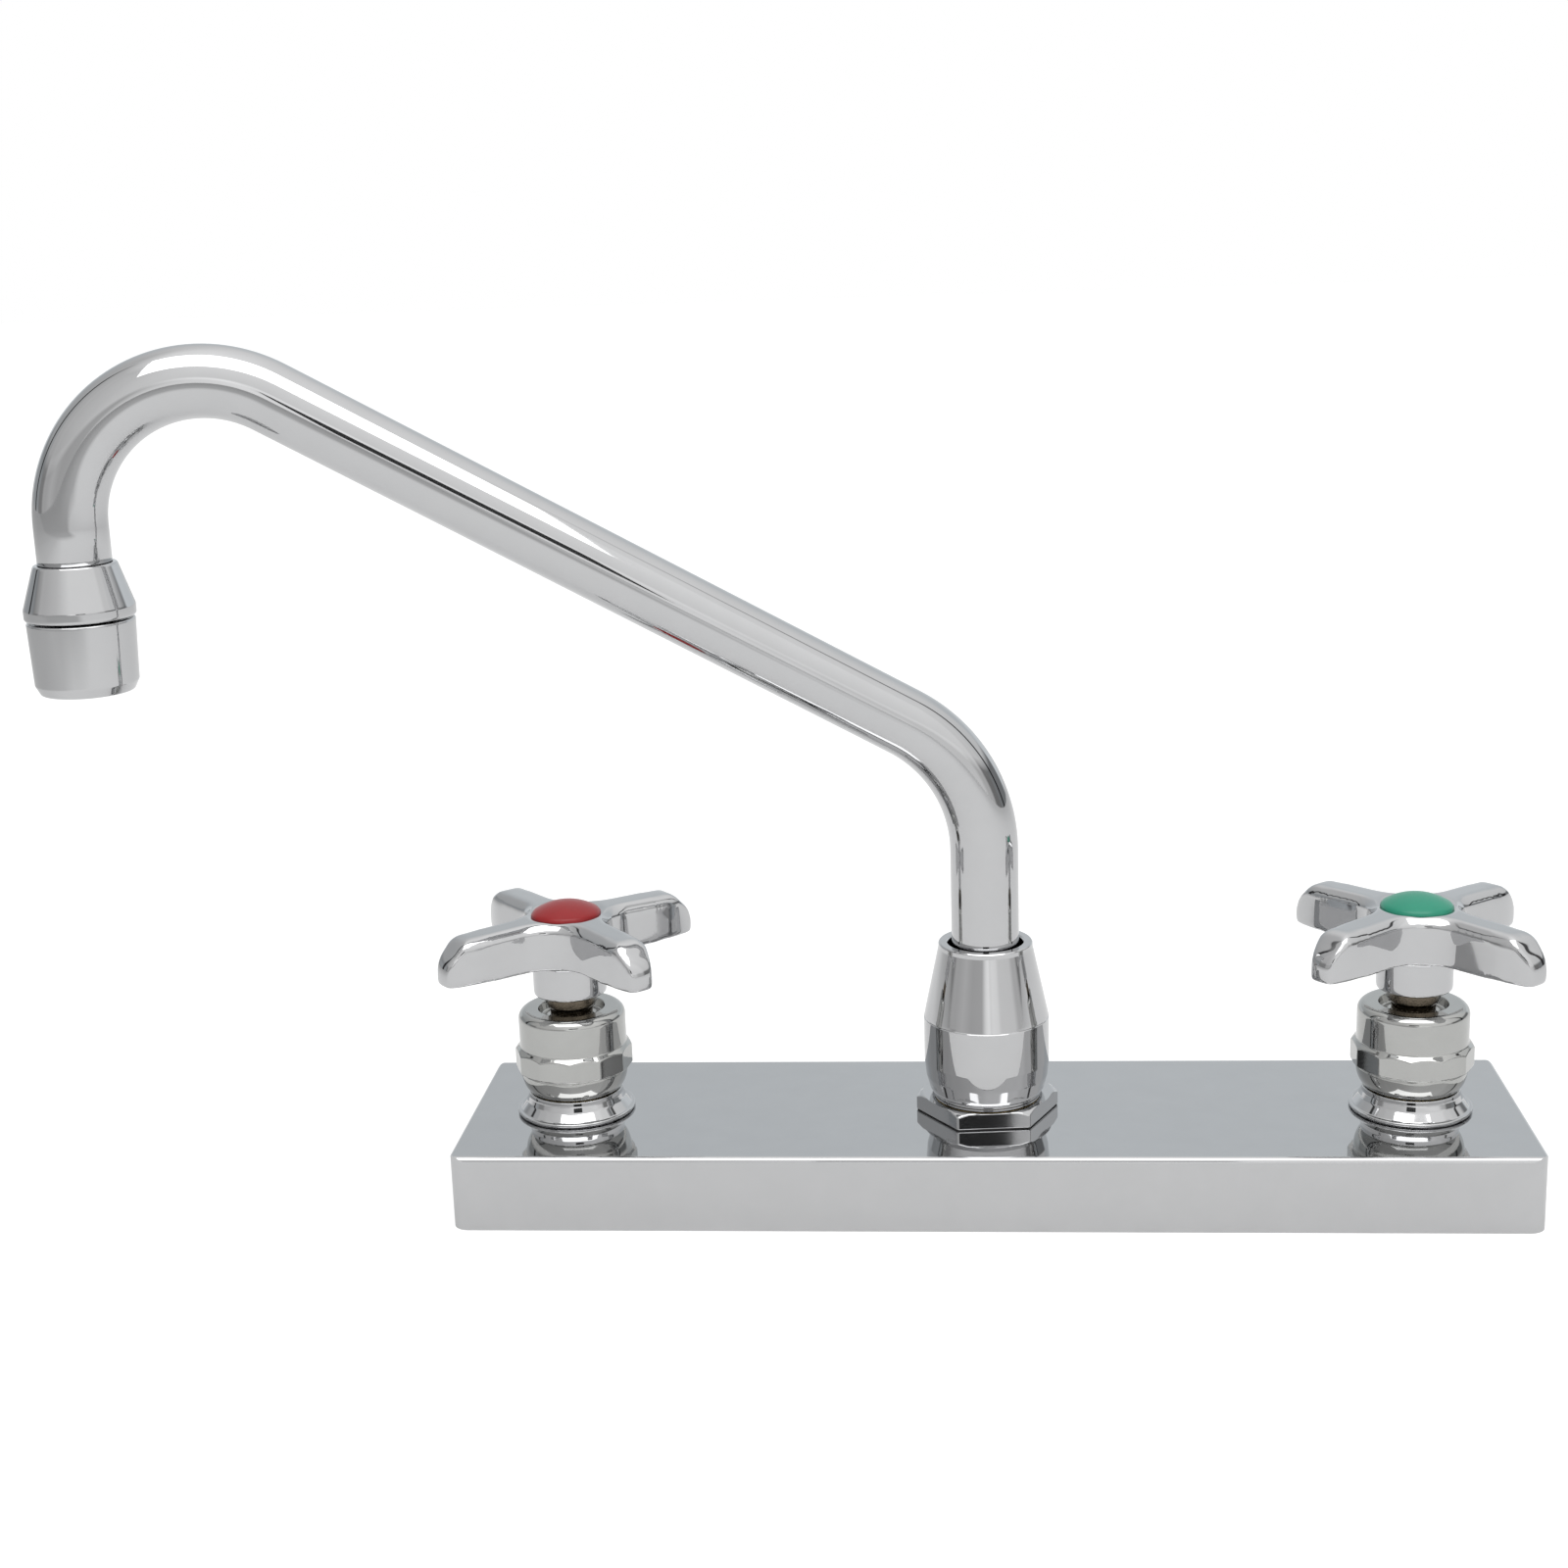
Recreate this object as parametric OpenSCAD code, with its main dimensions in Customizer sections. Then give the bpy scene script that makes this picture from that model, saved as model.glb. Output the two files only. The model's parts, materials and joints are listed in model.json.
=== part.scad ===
// Deck-mount kitchen faucet with two four-arm handles and a swinging gooseneck spout.
// Millimetres. The origin is on the deck, under the centre post: +X toward the cold valve,
// -Y toward the user, +Z up. The rest pose has both valves closed.

/* [Layout] */
// Distance between the centres of the hot and the cold valve
valve_centres = 203.2; // [190:0.1:220]
// Angle of the spout at rest, from the left toward the user
spout_rest_angle = 9.6; // [0:0.1:30]
// Turn of the hot handle's arms away from the diagonals
hot_handle_angle = -3; // [-20:0.5:20]
// Turn of the cold handle's arms away from the diagonals
cold_handle_angle = -7; // [-20:0.5:20]
// Turn of the hot bonnet's wrench faces
hot_bonnet_angle = 5.4; // [0:0.1:30]
// Turn of the cold bonnet's wrench faces
cold_bonnet_angle = 18; // [0:0.1:30]
// Turn of the hexagonal nut at the foot of the post
post_nut_angle = 5.5; // [0:0.1:60]

/* [Cover] */
// Length of the cover past each valve's centre
cover_end = 25.9; // [22:0.1:40]
// Depth of the cover from the user to the wall
cover_width = 63.5; // [56:0.1:80]
// Height of the cover above the deck
cover_height = 18.5; // [18:0.1:26]
// Thickness of the cover's sheet
cover_wall = 1.5; // [1:0.1:2]
// Radius of the cover's upright corners
cover_corner = 4; // [3:0.1:7]
// Radius of the cover's rolled edges
cover_edge = 1.2; // [0.8:0.1:1.4]
// Width of the soft gasket inside the cover's rim
gasket_width = 5; // [3:0.1:8]
// Thickness of the soft gasket
gasket_height = 2.5; // [1.5:0.1:3]

/* [Valve body] */
// Radius of the threaded shank, for the usual half-inch straight pipe thread
shank_r = 10.475; // [10:0.005:11]
// Length of shank left free under the cover for the deck
deck_grip = 14; // [10:0.5:30]
// Length of shank that the washers and the nut use
nut_stretch = 14; // [12:0.5:20]
// Length of shank left free at the bottom for the supply coupling
supply_stretch = 18; // [12:0.5:24]
// Length of each relief groove in the shank
relief_length = 2; // [1:0.1:3]
// Depth of each relief groove in the shank
relief_depth = 0.9; // [0.5:0.1:1.4]
// Radius of the bore up through the shank
shank_bore = 6; // [5:0.1:6.5]
// Radius of the body inside the cover
body_r = 13.5; // [12:0.1:16]
// Radius of the barrel that takes the flange nut and the bonnet
barrel_r = 9.8; // [9.6:0.1:10.4]
// Radius of the chamber that holds the cartridge
chamber_r = 8.3; // [8:0.1:8.4]
// Height of the chamber's floor above the deck
chamber_floor = 3; // [2:0.1:4]
// Height that the barrel stands above the cover
barrel_rise = 14.5; // [12:0.1:18]

/* [Cross tubes] */
// Outside radius of the tubes that carry the water to the post
cross_r = 4.76; // [4:0.01:5]
// Wall of the cross tubes
cross_wall = 0.9; // [0.6:0.1:1.2]
// Height of the cross tubes above the deck
cross_level = 9.5; // [9:0.1:10]
// Depth that each cross tube enters its sockets
cross_insert = 3; // [2:0.1:4]

/* [Flange nut] */
// Radius of the flange nut's rim
flange_r = 14.5; // [13:0.1:17]
// Radius of the flange nut's neck
flange_neck_r = 11.6; // [11.2:0.1:12.4]
// Height of the flange nut
flange_height = 5.6; // [5:0.1:7]
// Height of the bead round the flange nut's rim
flange_bead = 1.3; // [0.8:0.1:2]

/* [Bonnet] */
// Radius of the bonnet's smooth upper part
bonnet_r = 13.1; // [12.4:0.1:14]
// Radius of the bonnet's wrench band over its corners
bonnet_corner_r = 14.4; // [13.6:0.1:15.4]
// Number of wrench faces
bonnet_faces = 12; // [10:1:12]
// Height of the bonnet
bonnet_height = 20.9; // [18:0.1:24]
// Radius of the hole in the bonnet's top
bonnet_hole_r = 8.6; // [7.6:0.1:9]
// Height of the turned bowl at the bonnet's foot
bonnet_bowl = 5.4; // [4:0.1:6]
// Height of the wrench band
bonnet_band = 6.4; // [5:0.1:8]
// Radius of the bonnet's rounded top edge
bonnet_round = 2.2; // [1.5:0.1:3.2]

/* [Cartridge] */
// Thickness of each ceramic disc
disc_thickness = 3.2; // [2.5:0.1:3.6]
// Radius of the fixed ceramic disc
disc_r = 7.3; // [7:0.1:7.4]
// Radius of the stem's journal
stem_r = 5.2; // [4.8:0.1:5.6]
// Radius of the stem's collar under the handle
stem_collar_r = 5.8; // [5.6:0.1:6.6]
// Height of the stem's collar
stem_collar_height = 3.6; // [3:0.1:6]
// Radius of the stem's end inside the handle
stem_spline_r = 4; // [3.5:0.1:4.4]
// Height of the stem's end inside the handle
stem_spline_height = 10.5; // [9:0.1:11]
// Radius of the stem seal's cord
stem_seal_cord = 0.5; // [0.4:0.05:0.6]

/* [Handle] */
// Radius of the handle over the tips of its arms
handle_r = 34.3; // [32:0.1:42]
// Height of the arms
arm_height = 11.7; // [11:0.1:14]
// Half the width of an arm
arm_half_width = 4.7; // [4:0.1:5.2]
// Radius of the hollows between the arms
web_r = 10; // [8:0.1:12]
// Width of the bevel along the arms' upper edges
arm_bevel = 1.9; // [1:0.1:2.2]
// Radius of the round that ends each arm on top
tip_round = 8; // [6:0.1:9]
// Radius of the round that ends each arm below
tip_low_round = 2.2; // [1:0.1:3]
// Radius of the skirt under the arms
skirt_r = 8.95; // [8.4:0.1:9.6]
// Height of the skirt
skirt_height = 8.8; // [7:0.1:10]
// Radius of the coloured button
button_r = 8.45; // [8:0.1:9]
// Height of the button's dome
button_dome = 2.7; // [2:0.1:3.2]

/* [Spout] */
// Outside radius of the spout's tube
spout_r = 8.1; // [7.6:0.1:8.4]
// Wall of the spout's tube
spout_wall = 1.2; // [0.9:0.1:1.6]
// Height above the deck at which the tube starts to bend
riser_top = 83.8; // [75:0.1:120]
// Radius of the lower bend on the tube's centre line
lower_bend_r = 37.3; // [28:0.1:45]
// Slope of the straight arm above the horizontal
arm_slope = 30; // [20:0.5:40]
// Length of the straight arm
arm_length = 161.3; // [120:0.1:200]
// Radius of the upper bend on the tube's centre line
upper_bend_r = 30.5; // [24:0.1:40]
// Straight drop between the upper bend and the outlet collar
outlet_drop = 8.4; // [6:0.1:20]

/* [Centre post] */
// Radius of the post's threaded barrel
post_r = 12.5; // [12.2:0.1:13]
// Radius of the post's bore for the spout's end
post_bore = 9.55; // [9.5:0.01:9.8]
// Radius of the post's body inside the cover
post_body_r = 16; // [15:0.1:20]
// Height that the post's barrel stands above the cover
post_rise = 19.5; // [18:0.1:24]
// Radius of the hexagonal nut over its corners
post_nut_r = 17.4; // [16.4:0.1:19]
// Height of the hexagonal nut
post_nut_height = 4.3; // [3:0.1:4.6]

/* [Spout nut] */
// Height of the post's neck that shows between the two nuts
post_neck = 0.9; // [0.6:0.1:2]
// Radius of the spout nut's straight part
spout_nut_r = 15.1; // [14.6:0.1:17]
// Radius of the spout nut's top
spout_nut_top_r = 11.2; // [10.6:0.1:12]
// Height of the spout nut
spout_nut_height = 37.5; // [34:0.1:42]
// Radius of the spout nut's top hole
spout_nut_hole_r = 9; // [8.8:0.1:9.2]
// Share of the spout nut's height where its straight part starts
nut_bowl_share = 0.19; // [0.14:0.01:0.24]
// Share of the spout nut's height where its straight part ends
nut_band_share = 0.5; // [0.45:0.01:0.55]

/* [Outlet] */
// Radius of the outlet collar's top
collar_top_r = 9.1; // [8.9:0.1:9.8]
// Radius of the outlet collar's widest part
collar_r = 12.2; // [11.8:0.1:13.5]
// Height of the outlet collar
collar_height = 12.2; // [10:0.1:15]
// Radius of the aerator shell's top
shell_r = 11.9; // [11.6:0.1:13]
// Radius of the aerator shell above its lower bevel
shell_low_r = 11.4; // [11:0.1:11.8]
// Height of the aerator shell below the collar
shell_height = 16.4; // [14:0.1:20]
// Height and width of the aerator shell's lower bevel
shell_bevel = 2.2; // [1:0.1:2.4]

/* [Deck hardware] */
// Radius of the deck washers
washer_r = 19; // [16:0.1:24]
// Thickness of the rubber deck washer
rubber_thickness = 2.5; // [2:0.1:3]
// Thickness of the steel deck washer
steel_thickness = 1.2; // [1:0.1:1.6]
// Radius of the shank's nut over its corners
shank_nut_r = 17; // [15:0.1:20]
// Height of the shank's nut
shank_nut_height = 7; // [6:0.1:8]

/* [Hidden] */
$fn = 96;

// The two sides, as signs along X
hot = -1;
cold = 1;

// Clearances: round pieces that turn, round pieces that stand still, and faces that slide
run_gap = 0.05;
fit_gap = 0.1;
face_gap = 0.05;
// Overrun of every cut past the face it leaves
over = 1;
// Half turn, quarter turn and full turn
quarter = 90;
half_turn = 180;
full_turn = 360;
// Faces of a hexagonal nut
hex_faces = 6;

// Cover
cover_length = valve_centres + 2 * cover_end;
cover_under = cover_height - cover_wall;

// Shank, counted down from the deck
grip_bottom = -deck_grip;
nut_top = grip_bottom - relief_length;
nut_bottom = nut_top - nut_stretch;
supply_top = nut_bottom - relief_length;
shank_bottom = supply_top - supply_stretch;
relief_r = shank_r - relief_depth;
shank_chamfer = relief_depth;
body_foot = chamber_floor / 2;

// Valve stack, counted up from the cover
barrel_top = cover_height + barrel_rise;
flange_top = cover_height + flange_height;
flange_shoulder_share = 0.62;
flange_shoulder_r = flange_r - flange_bead / 2;
bonnet_bottom = flange_top + fit_gap;
bonnet_top = bonnet_bottom + bonnet_height;
bonnet_foot_r = (barrel_r + bonnet_r) / 2;
bonnet_bulge = 0.6;
band_bottom = bonnet_bottom + bonnet_bowl;
band_top = band_bottom + bonnet_band;
band_slope_share = 0.5;
washer_height = 0.8;
cartridge_flange_bottom = barrel_top + washer_height;
cartridge_flange_height = 2;
cartridge_top = cartridge_flange_bottom + cartridge_flange_height;
cartridge_r = chamber_r - fit_gap;
bonnet_ledge = cartridge_top + fit_gap;

// Cartridge
seal_height = 2;
disc_bottom = chamber_floor + seal_height;
disc_meet = disc_bottom + disc_thickness;
turning_bottom = disc_meet + face_gap;
turning_top = turning_bottom + disc_thickness;
turning_r = disc_r - fit_gap;
pocket_r = disc_r + run_gap;
driver_bottom = turning_top + face_gap;
driver_height = 2;
driver_top = driver_bottom + driver_height;
pocket_top = driver_top + fit_gap;
tang_width = disc_r / 3;
tang_depth = disc_thickness / 3;
port_inner_share = 0.28;
port_outer_share = 0.78;
port_half_angle = 36;
window_r = disc_thickness / 2;
window_level = turning_bottom + window_r;

// Stem
stem_journal_top = bonnet_top + face_gap;
stem_collar_top = stem_journal_top + stem_collar_height;
stem_top = stem_collar_top + stem_spline_height;
clip_height = 0.8;
clip_groove = 0.6;
clip_width = 1.3;
clip_r = stem_r + clip_width;
clip_bottom = cartridge_top + face_gap;
stem_seal_level = (pocket_top + cartridge_top) / 2;
stem_seal_r = stem_r - stem_seal_cord - run_gap / 2;
stem_groove_r = stem_seal_r - stem_seal_cord - run_gap / 2;
screw_r = 2;
screw_length = 12;
screw_head_r = 3.6;
screw_head_height = 2.4;

// Handle
skirt_bottom = stem_collar_top + face_gap;
arm_bottom = skirt_bottom + skirt_height;
arm_top = arm_bottom + arm_height;
socket_top = stem_top + fit_gap;
handle_web = 1.4;
recess_floor = socket_top + handle_web;
recess_r = screw_head_r + 2 * fit_gap;
button_seat = arm_top - button_dome / 4;
button_spigot_r = button_r - button_dome / 2;
button_spigot_height = arm_height / 5;
button_rim = button_dome / 4;
button_base = button_seat + face_gap;
dome_r = (button_r * button_r + button_dome * button_dome) / (2 * button_dome);
arm_reach = handle_r * 2;

// Centre post
post_top = cover_height + post_rise;
post_port_top = cross_level + cross_r;
bush_bottom = post_port_top + 2 * face_gap + cover_wall / 2;
bush_r = post_bore - run_gap;
bush_flange_r = post_r - fit_gap - run_gap;
bush_flange_bottom = post_top + face_gap;
bush_flange_height = 2;
bush_top = bush_flange_bottom + bush_flange_height;
bearing_height = 0.8;
bearing_bottom = bush_top + face_gap;
bearing_top = bearing_bottom + bearing_height;
tube_bottom = post_top - bush_r;
seal_cord = 0.9;
seal_r = bush_r - seal_cord + run_gap / 2;
seal_groove_r = seal_r - seal_cord - run_gap / 2;
seal_levels_share = [0.3, 0.6];
seal_groove_half = seal_cord + fit_gap;

// Spout nut
post_nut_top = cover_height + post_nut_height;
nut_foot = post_nut_top + post_neck;
spout_nut_top = nut_foot + spout_nut_height;
nut_ledge = bearing_top + face_gap;
nut_band_low = nut_foot + nut_bowl_share * spout_nut_height;
nut_band_high = nut_foot + nut_band_share * spout_nut_height;
nut_foot_r = (post_r + spout_nut_r) / 2;
nut_lip = (spout_nut_top_r - spout_nut_hole_r) / 2;

// Spout route, in the upright plane of the spout
lower_turn = quarter - arm_slope;
upper_turn = quarter + arm_slope;
arm_start_out = lower_bend_r * (1 - cos(lower_turn));
arm_start_up = riser_top + lower_bend_r * sin(lower_turn);
arm_end_out = arm_start_out + arm_length * cos(arm_slope);
arm_end_up = arm_start_up + arm_length * sin(arm_slope);
bend_centre_out = arm_end_out + upper_bend_r * sin(arm_slope);
bend_centre_up = arm_end_up - upper_bend_r * cos(arm_slope);
outlet_out = bend_centre_out + upper_bend_r;
collar_top = bend_centre_up - outlet_drop;
tube_seat = collar_height / 2;
tube_end = collar_top - tube_seat;
spout_bore = spout_r - spout_wall;

// Outlet
collar_bottom = collar_top - collar_height;
collar_lip = collar_height / 10;
collar_gap = 0.4;
shell_top = collar_bottom - collar_gap;
shell_bottom = shell_top - shell_height;
shell_neck_r = collar_top_r + shell_bevel / 2;
outlet_washer_space = 2.6;
shell_neck_top = tube_end - outlet_washer_space;
shell_wall = 1.1;
shell_bore = shell_neck_r - shell_wall;
shell_step = 0.7;
shell_mouth_r = shell_bore - shell_step;
shell_lip = 1.4;
insert_r = shell_bore - fit_gap;
insert_bottom = shell_bottom + shell_lip + face_gap;
insert_drop = 3;
insert_top = shell_neck_top - insert_drop;
insert_floor = 3;
insert_wall = 1.2;
jet_r = 0.8;
jet_rings = 3;
jets_a_ring = 6;
jet_pitch = 2.3;
screen_height = 0.6;
screen_bottom = insert_top + face_gap;
screen_slot = 0.8;
screen_pitch = 2;

// A ring between two radii
module ring(outer, inner, bottom, height) {
    translate([0, 0, bottom]) difference() {
        cylinder(r = outer, h = height);
        translate([0, 0, -over]) cylinder(r = inner, h = height + 2 * over);
    }
}

// A hole along Z between two heights
module bore(r, bottom, top) {
    translate([0, 0, bottom]) cylinder(r = r, h = top - bottom);
}

// A rectangle centred on the origin with round corners
module round_rect(x, y, r) {
    square([x - 2 * r, y], center = true);
    square([x, y - 2 * r], center = true);
    for (i = [-1, 1], j = [-1, 1]) translate([i * (x / 2 - r), j * (y / 2 - r)]) circle(r = r);
}

module at_valve(side) {
    translate([side * valve_centres / 2, 0, 0]) children();
}

// Turns the upright plane of the spout, X outward and Y up, to its place at rest
module spout_plane() {
    rotate([0, 0, half_turn + spout_rest_angle]) rotate([quarter, 0, 0]) children();
}

module at_outlet() {
    rotate([0, 0, half_turn + spout_rest_angle]) translate([outlet_out, 0, 0]) children();
}

// A rectangle centred on the origin with round upper corners
module rolled_rect(x, y, r) {
    round_rect(x, y, r);
    translate([-x / 2, -y / 2]) square([x, y / 2]);
}

// The cover's closed outer form, with its upper edges rolled
module cover_form() {
    intersection() {
        linear_extrude(cover_height) round_rect(cover_length, cover_width, cover_corner);
        translate([0, cover_width, cover_height / 2]) rotate([quarter, 0, 0])
            linear_extrude(2 * cover_width) rolled_rect(cover_length, cover_height, cover_edge);
        translate([-cover_length, 0, cover_height / 2]) rotate([quarter, 0, quarter])
            linear_extrude(2 * cover_length) rolled_rect(cover_width, cover_height, cover_edge);
    }
}

module cover() {
    color("lightgray") difference() {
        cover_form();
        translate([0, 0, -over]) linear_extrude(cover_under + over)
            round_rect(cover_length - 2 * cover_wall, cover_width - 2 * cover_wall,
                cover_corner - cover_wall);
        for (side = [hot, cold]) at_valve(side) bore(barrel_r + fit_gap, 0, cover_height + over);
        bore(post_r + fit_gap, 0, cover_height + over);
    }
}

module base_gasket() {
    inside_x = cover_length - 2 * cover_wall - 2 * fit_gap;
    inside_y = cover_width - 2 * cover_wall - 2 * fit_gap;
    corner = cover_corner - cover_wall;
    color("dimgray") difference() {
        linear_extrude(gasket_height) round_rect(inside_x, inside_y, corner);
        translate([-inside_x / 2 + gasket_width, -inside_y / 2 + gasket_width, -over])
            cube([inside_x - 2 * gasket_width, inside_y - 2 * gasket_width, gasket_height + 2 * over]);
    }
}

// Half the outline of a valve body, from the bottom of the shank to the barrel's rim
module valve_body_outline() {
    polygon([[0, shank_bottom], [shank_r - shank_chamfer, shank_bottom],
        [shank_r, shank_bottom + shank_chamfer], [shank_r, supply_top],
        [relief_r, supply_top], [relief_r, nut_bottom], [shank_r, nut_bottom],
        [shank_r, nut_top], [relief_r, nut_top], [relief_r, grip_bottom],
        [shank_r, grip_bottom], [shank_r, body_foot], [body_r, body_foot],
        [body_r, cover_under], [barrel_r, cover_under], [barrel_r, barrel_top], [0, barrel_top]]);
}

module valve_body(side) {
    color("goldenrod") at_valve(side) difference() {
        rotate_extrude() valve_body_outline();
        bore(shank_bore, shank_bottom - over, chamber_floor + over);
        bore(chamber_r, chamber_floor, barrel_top + over);
        translate([0, 0, cross_level]) rotate([0, -side * quarter, 0])
            cylinder(r = cross_r - cross_wall, h = body_r + over);
        translate([-side * (body_r - cross_insert), 0, cross_level]) rotate([0, -side * quarter, 0])
            cylinder(r = cross_r + fit_gap, h = cross_insert + over);
    }
}

// The tube from a valve body's socket to the post's socket
module cross_tube(side) {
    outer_end = valve_centres / 2 - body_r + cross_insert - face_gap;
    inner_end = post_body_r - cross_insert + face_gap;
    color("peru") translate([side * inner_end, 0, cross_level]) rotate([0, side * quarter, 0])
        ring(cross_r, cross_r - cross_wall, 0, outer_end - inner_end);
}

module flange_nut(side) {
    shoulder = cover_height + flange_shoulder_share * flange_height;
    color("gainsboro") at_valve(side) rotate_extrude() polygon([
        [barrel_r + fit_gap, cover_height], [flange_shoulder_r, cover_height],
        [flange_r, cover_height + flange_bead / 3], [flange_r, cover_height + 2 * flange_bead / 3],
        [flange_shoulder_r, cover_height + flange_bead],
        [flange_shoulder_r - flange_bead / 4, cover_height + flange_bead],
        [flange_neck_r, shoulder], [flange_neck_r, flange_top], [barrel_r + fit_gap, flange_top]]);
}

// The bonnet's turned form with a round top edge, before the bore
module bonnet_turned() {
    round_centre = [bonnet_r - bonnet_round, bonnet_top - bonnet_round];
    rotate_extrude() difference() {
        union() {
            polygon([[0, bonnet_bottom], [bonnet_foot_r, bonnet_bottom],
                [bonnet_r - bonnet_bulge, band_bottom - bonnet_bowl / 2], [bonnet_r, band_bottom],
                [bonnet_r, round_centre.y], [0, round_centre.y]]);
            translate([0, round_centre.y]) square([round_centre.x, bonnet_round]);
            translate(round_centre) circle(r = bonnet_round);
        }
        translate([-bonnet_r, bonnet_bottom]) square([bonnet_r, bonnet_height]);
    }
}

// The band of wrench faces, bevelled above and below over its corners
module bonnet_wrench_band() {
    drop = (bonnet_corner_r - bonnet_r) * band_slope_share;
    intersection() {
        translate([0, 0, band_bottom])
            cylinder(r = bonnet_corner_r, h = bonnet_band, $fn = bonnet_faces);
        rotate_extrude() polygon([[0, band_bottom], [bonnet_r, band_bottom],
            [bonnet_corner_r, band_bottom + drop], [bonnet_corner_r, band_top - 2 * drop],
            [bonnet_r - drop, band_top + drop], [0, band_top + drop]]);
    }
}

module bonnet(side, angle) {
    color("silver") at_valve(side) difference() {
        rotate([0, 0, angle]) {
            bonnet_turned();
            bonnet_wrench_band();
        }
        bore(barrel_r + fit_gap, bonnet_bottom - over, bonnet_ledge);
        bore(bonnet_hole_r, bonnet_bottom, bonnet_top + over);
    }
}

module bonnet_washer(side) {
    color("firebrick") at_valve(side)
        ring(barrel_r - fit_gap, chamber_r + fit_gap, barrel_top, washer_height);
}

// The brass sleeve that holds the discs and carries the stem
module cartridge(side) {
    color("darkgoldenrod") at_valve(side) difference() {
        union() {
            bore(cartridge_r, disc_bottom, cartridge_top);
            bore(barrel_r - fit_gap, cartridge_flange_bottom, cartridge_top);
        }
        bore(pocket_r, disc_bottom - over, pocket_top);
        bore(stem_r + run_gap, disc_bottom, cartridge_top + over);
        for (turn = [0 : quarter : full_turn - 1]) rotate([0, 0, turn]) translate([0, 0, window_level])
            rotate([0, quarter, 0]) cylinder(r = window_r, h = chamber_r + over);
    }
}

module cartridge_seal(side) {
    color("black") at_valve(side) ring(chamber_r - fit_gap, shank_bore, chamber_floor, seal_height);
}

// A sector between two radii, with two of them to a disc
module port_pair(turn) {
    inner = port_inner_share * disc_r;
    outer = port_outer_share * disc_r;
    for (flip = [0, half_turn]) rotate([0, 0, turn + flip]) intersection() {
        difference() {
            circle(r = outer);
            circle(r = inner);
        }
        polygon([[0, 0], [2 * outer * cos(port_half_angle), -2 * outer * sin(port_half_angle)],
            [2 * outer * cos(port_half_angle), 2 * outer * sin(port_half_angle)]]);
    }
}

module fixed_disc(side) {
    color("white") at_valve(side) translate([0, 0, disc_bottom])
        linear_extrude(disc_thickness) difference() {
            circle(r = disc_r);
            port_pair(0);
        }
}

// Its ports stand a quarter turn from the fixed disc's, so that the valve is shut at rest
module turning_disc(side) {
    color("whitesmoke") at_valve(side) translate([0, 0, turning_bottom]) difference() {
        linear_extrude(disc_thickness) difference() {
            circle(r = turning_r);
            port_pair(quarter);
        }
        translate([-tang_width / 2 - fit_gap, -disc_r - over, disc_thickness - tang_depth - fit_gap])
            cube([tang_width + 2 * fit_gap, 2 * (disc_r + over), tang_depth + over]);
    }
}

// Half the outline of the stem, from its driver to its end in the handle
module stem_outline() {
    polygon([[0, driver_bottom], [turning_r, driver_bottom], [turning_r, driver_top],
        [stem_r, driver_top], [stem_r, stem_seal_level - stem_seal_cord - run_gap],
        [stem_groove_r, stem_seal_level - stem_seal_cord - run_gap],
        [stem_groove_r, stem_seal_level + stem_seal_cord + run_gap],
        [stem_r, stem_seal_level + stem_seal_cord + run_gap],
        [stem_r, clip_bottom], [stem_r - clip_groove, clip_bottom],
        [stem_r - clip_groove, clip_bottom + clip_height + face_gap],
        [stem_r, clip_bottom + clip_height + face_gap], [stem_r, stem_journal_top],
        [stem_collar_r, stem_journal_top + clip_height], [stem_collar_r, stem_collar_top],
        [stem_spline_r, stem_collar_top], [stem_spline_r, stem_top], [0, stem_top]]);
}

module stem(side) {
    color("saddlebrown") at_valve(side) difference() {
        union() {
            rotate_extrude() stem_outline();
            intersection() {
                translate([-tang_width / 2, -turning_r, turning_top - tang_depth])
                    cube([tang_width, 2 * turning_r, tang_depth + face_gap + driver_height / 2]);
                bore(turning_r, turning_bottom, driver_top);
            }
        }
        bore(screw_r + run_gap, stem_top - screw_length, stem_top + over);
    }
}

module stem_seal(side) {
    color("black") at_valve(side) translate([0, 0, stem_seal_level])
        rotate_extrude() translate([stem_seal_r, 0]) circle(r = stem_seal_cord);
}

// A clip open on one side, seated in the stem's groove
module stem_clip(side) {
    color("darkgray") at_valve(side) difference() {
        ring(clip_r, stem_r - clip_groove + run_gap, clip_bottom, clip_height);
        translate([0, -stem_r / 2, clip_bottom - over])
            cube([stem_r + clip_r, stem_r, clip_height + 2 * over]);
    }
}

// The four hollows between the arms, cut from the block of the handle
module handle_hollow() {
    centre = arm_half_width + web_r;
    edge_r = web_r + arm_bevel;
    translate([centre, centre, 0]) rotate_extrude() polygon([
        [0, arm_bottom - over], [web_r, arm_bottom - over], [web_r, arm_top - arm_bevel],
        [edge_r, arm_top], [edge_r + over, arm_top + over], [0, arm_top + over]]);
    for (flip = [0, 1]) mirror([flip, -flip, 0]) translate([centre, 0, 0]) rotate([quarter, 0, quarter])
        linear_extrude(arm_reach) polygon([
            [arm_half_width, arm_bottom - over], [arm_half_width, arm_top - arm_bevel],
            [arm_half_width - arm_bevel, arm_top], [arm_half_width - arm_bevel - over, arm_top + over],
            [arm_reach, arm_top + over], [arm_reach, arm_bottom - over]]);
}

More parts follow.
